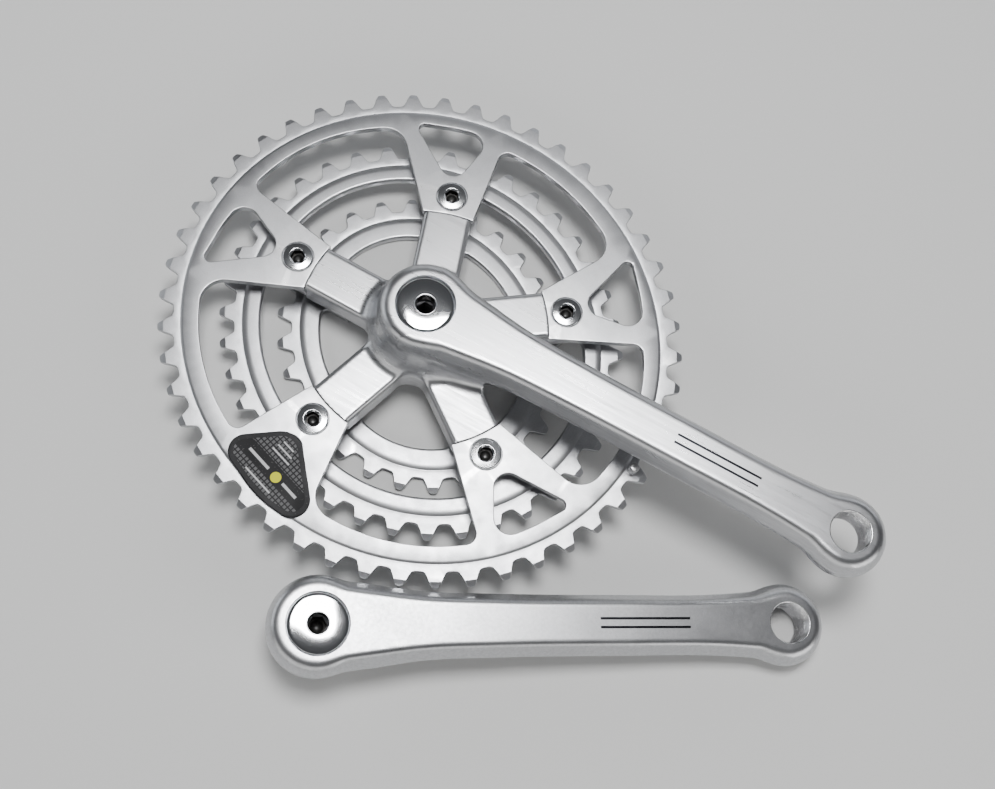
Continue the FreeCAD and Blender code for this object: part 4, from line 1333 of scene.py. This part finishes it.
bench_mesh = bpy.data.meshes.new("bench")
reach, edge_rise = 2.4, 1.2
outline = []
for k in range(25):
    share = k / 24.0
    outline.append((share * reach, BENCH_TOP * MM + edge_rise * max(share - 0.6, 0.0) ** 2 * 3.0))
bench_points, bench_faces = turned([(r / MM, z / MM) for r, z in outline], 96)
bench_mesh.from_pydata((bench_points * MM).tolist(), [], [f[::-1] for f in bench_faces])
bench_mesh.shade_smooth()
bench_mesh.materials.append(bench_finish())
bench = bpy.data.objects.new("bench", bench_mesh)
bpy.context.scene.collection.objects.link(bench)
bench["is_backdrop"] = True


def soft_light(name, place, aim, size, power, colour=(1.0, 1.0, 1.0)):
    lamp = bpy.data.lights.new(name, "AREA")
    lamp.shape = "RECTANGLE"
    lamp.size, lamp.size_y = size
    lamp.energy = power
    lamp.color = colour
    holder = bpy.data.objects.new(name, lamp)
    holder.location = place
    holder.rotation_mode = "QUATERNION"
    holder.rotation_quaternion = (Vector(aim) - Vector(place)).to_track_quat("-Z", "Y")
    bpy.context.scene.collection.objects.link(holder)


soft_light("overhead_softbox", (-0.02, 0.12, 0.95), (0.03, -0.02, 0.0), (0.34, 0.30), 5.6)
soft_light("front_panel", (0.1, -1.3, 0.55), (0.05, 0.0, 0.1), (2.6, 1.0), 7.0, (1.0, 0.99, 0.97))
soft_light("back_panel", (0.0, 1.3, 0.5), (0.05, 0.0, 0.1), (2.4, 0.8), 4.0, (0.95, 0.97, 1.0))
soft_light("right_panel", (1.25, -0.35, 0.4), (0.1, -0.05, 0.03), (1.1, 0.7), 4.2, (1.0, 0.99, 0.97))
soft_light("left_panel", (-1.2, -0.2, 0.45), (0.0, 0.0, 0.05), (1.2, 0.7), 2.6, (0.94, 0.97, 1.0))

world = bpy.data.worlds.new("studio")
world.use_nodes = True
world.node_tree.nodes["Background"].inputs["Color"].default_value = (0.88, 0.90, 0.93, 1.0)
world.node_tree.nodes["Background"].inputs["Strength"].default_value = 0.10
bpy.context.scene.world = world

right_way = Vector((0.87516, 0.47589, 0.08731))
up_way = Vector((-0.47872, 0.82553, 0.29888))
forward_way = Vector((-0.07016, 0.30337, -0.95029))
camera_data = bpy.data.cameras.new("camera")
camera_data.lens = 44.5
camera_data.sensor_width = 36.0
camera_data.clip_start = 0.01
camera = bpy.data.objects.new("camera", camera_data)
turn = Matrix((right_way, up_way, -forward_way)).transposed()
camera.rotation_mode = "QUATERNION"
camera.rotation_quaternion = turn.to_quaternion()
camera.location = Vector((69.44, -149.15, 454.51)) * MM
bpy.context.scene.collection.objects.link(camera)
bpy.context.scene.camera = camera

bpy.context.scene.view_settings.view_transform = "AgX"
bpy.context.scene.view_settings.look = "AgX - Medium High Contrast"

low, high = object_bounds()
{"cad": [list(cad_low), list(cad_high)], "visual": [list(low), list(high)]}
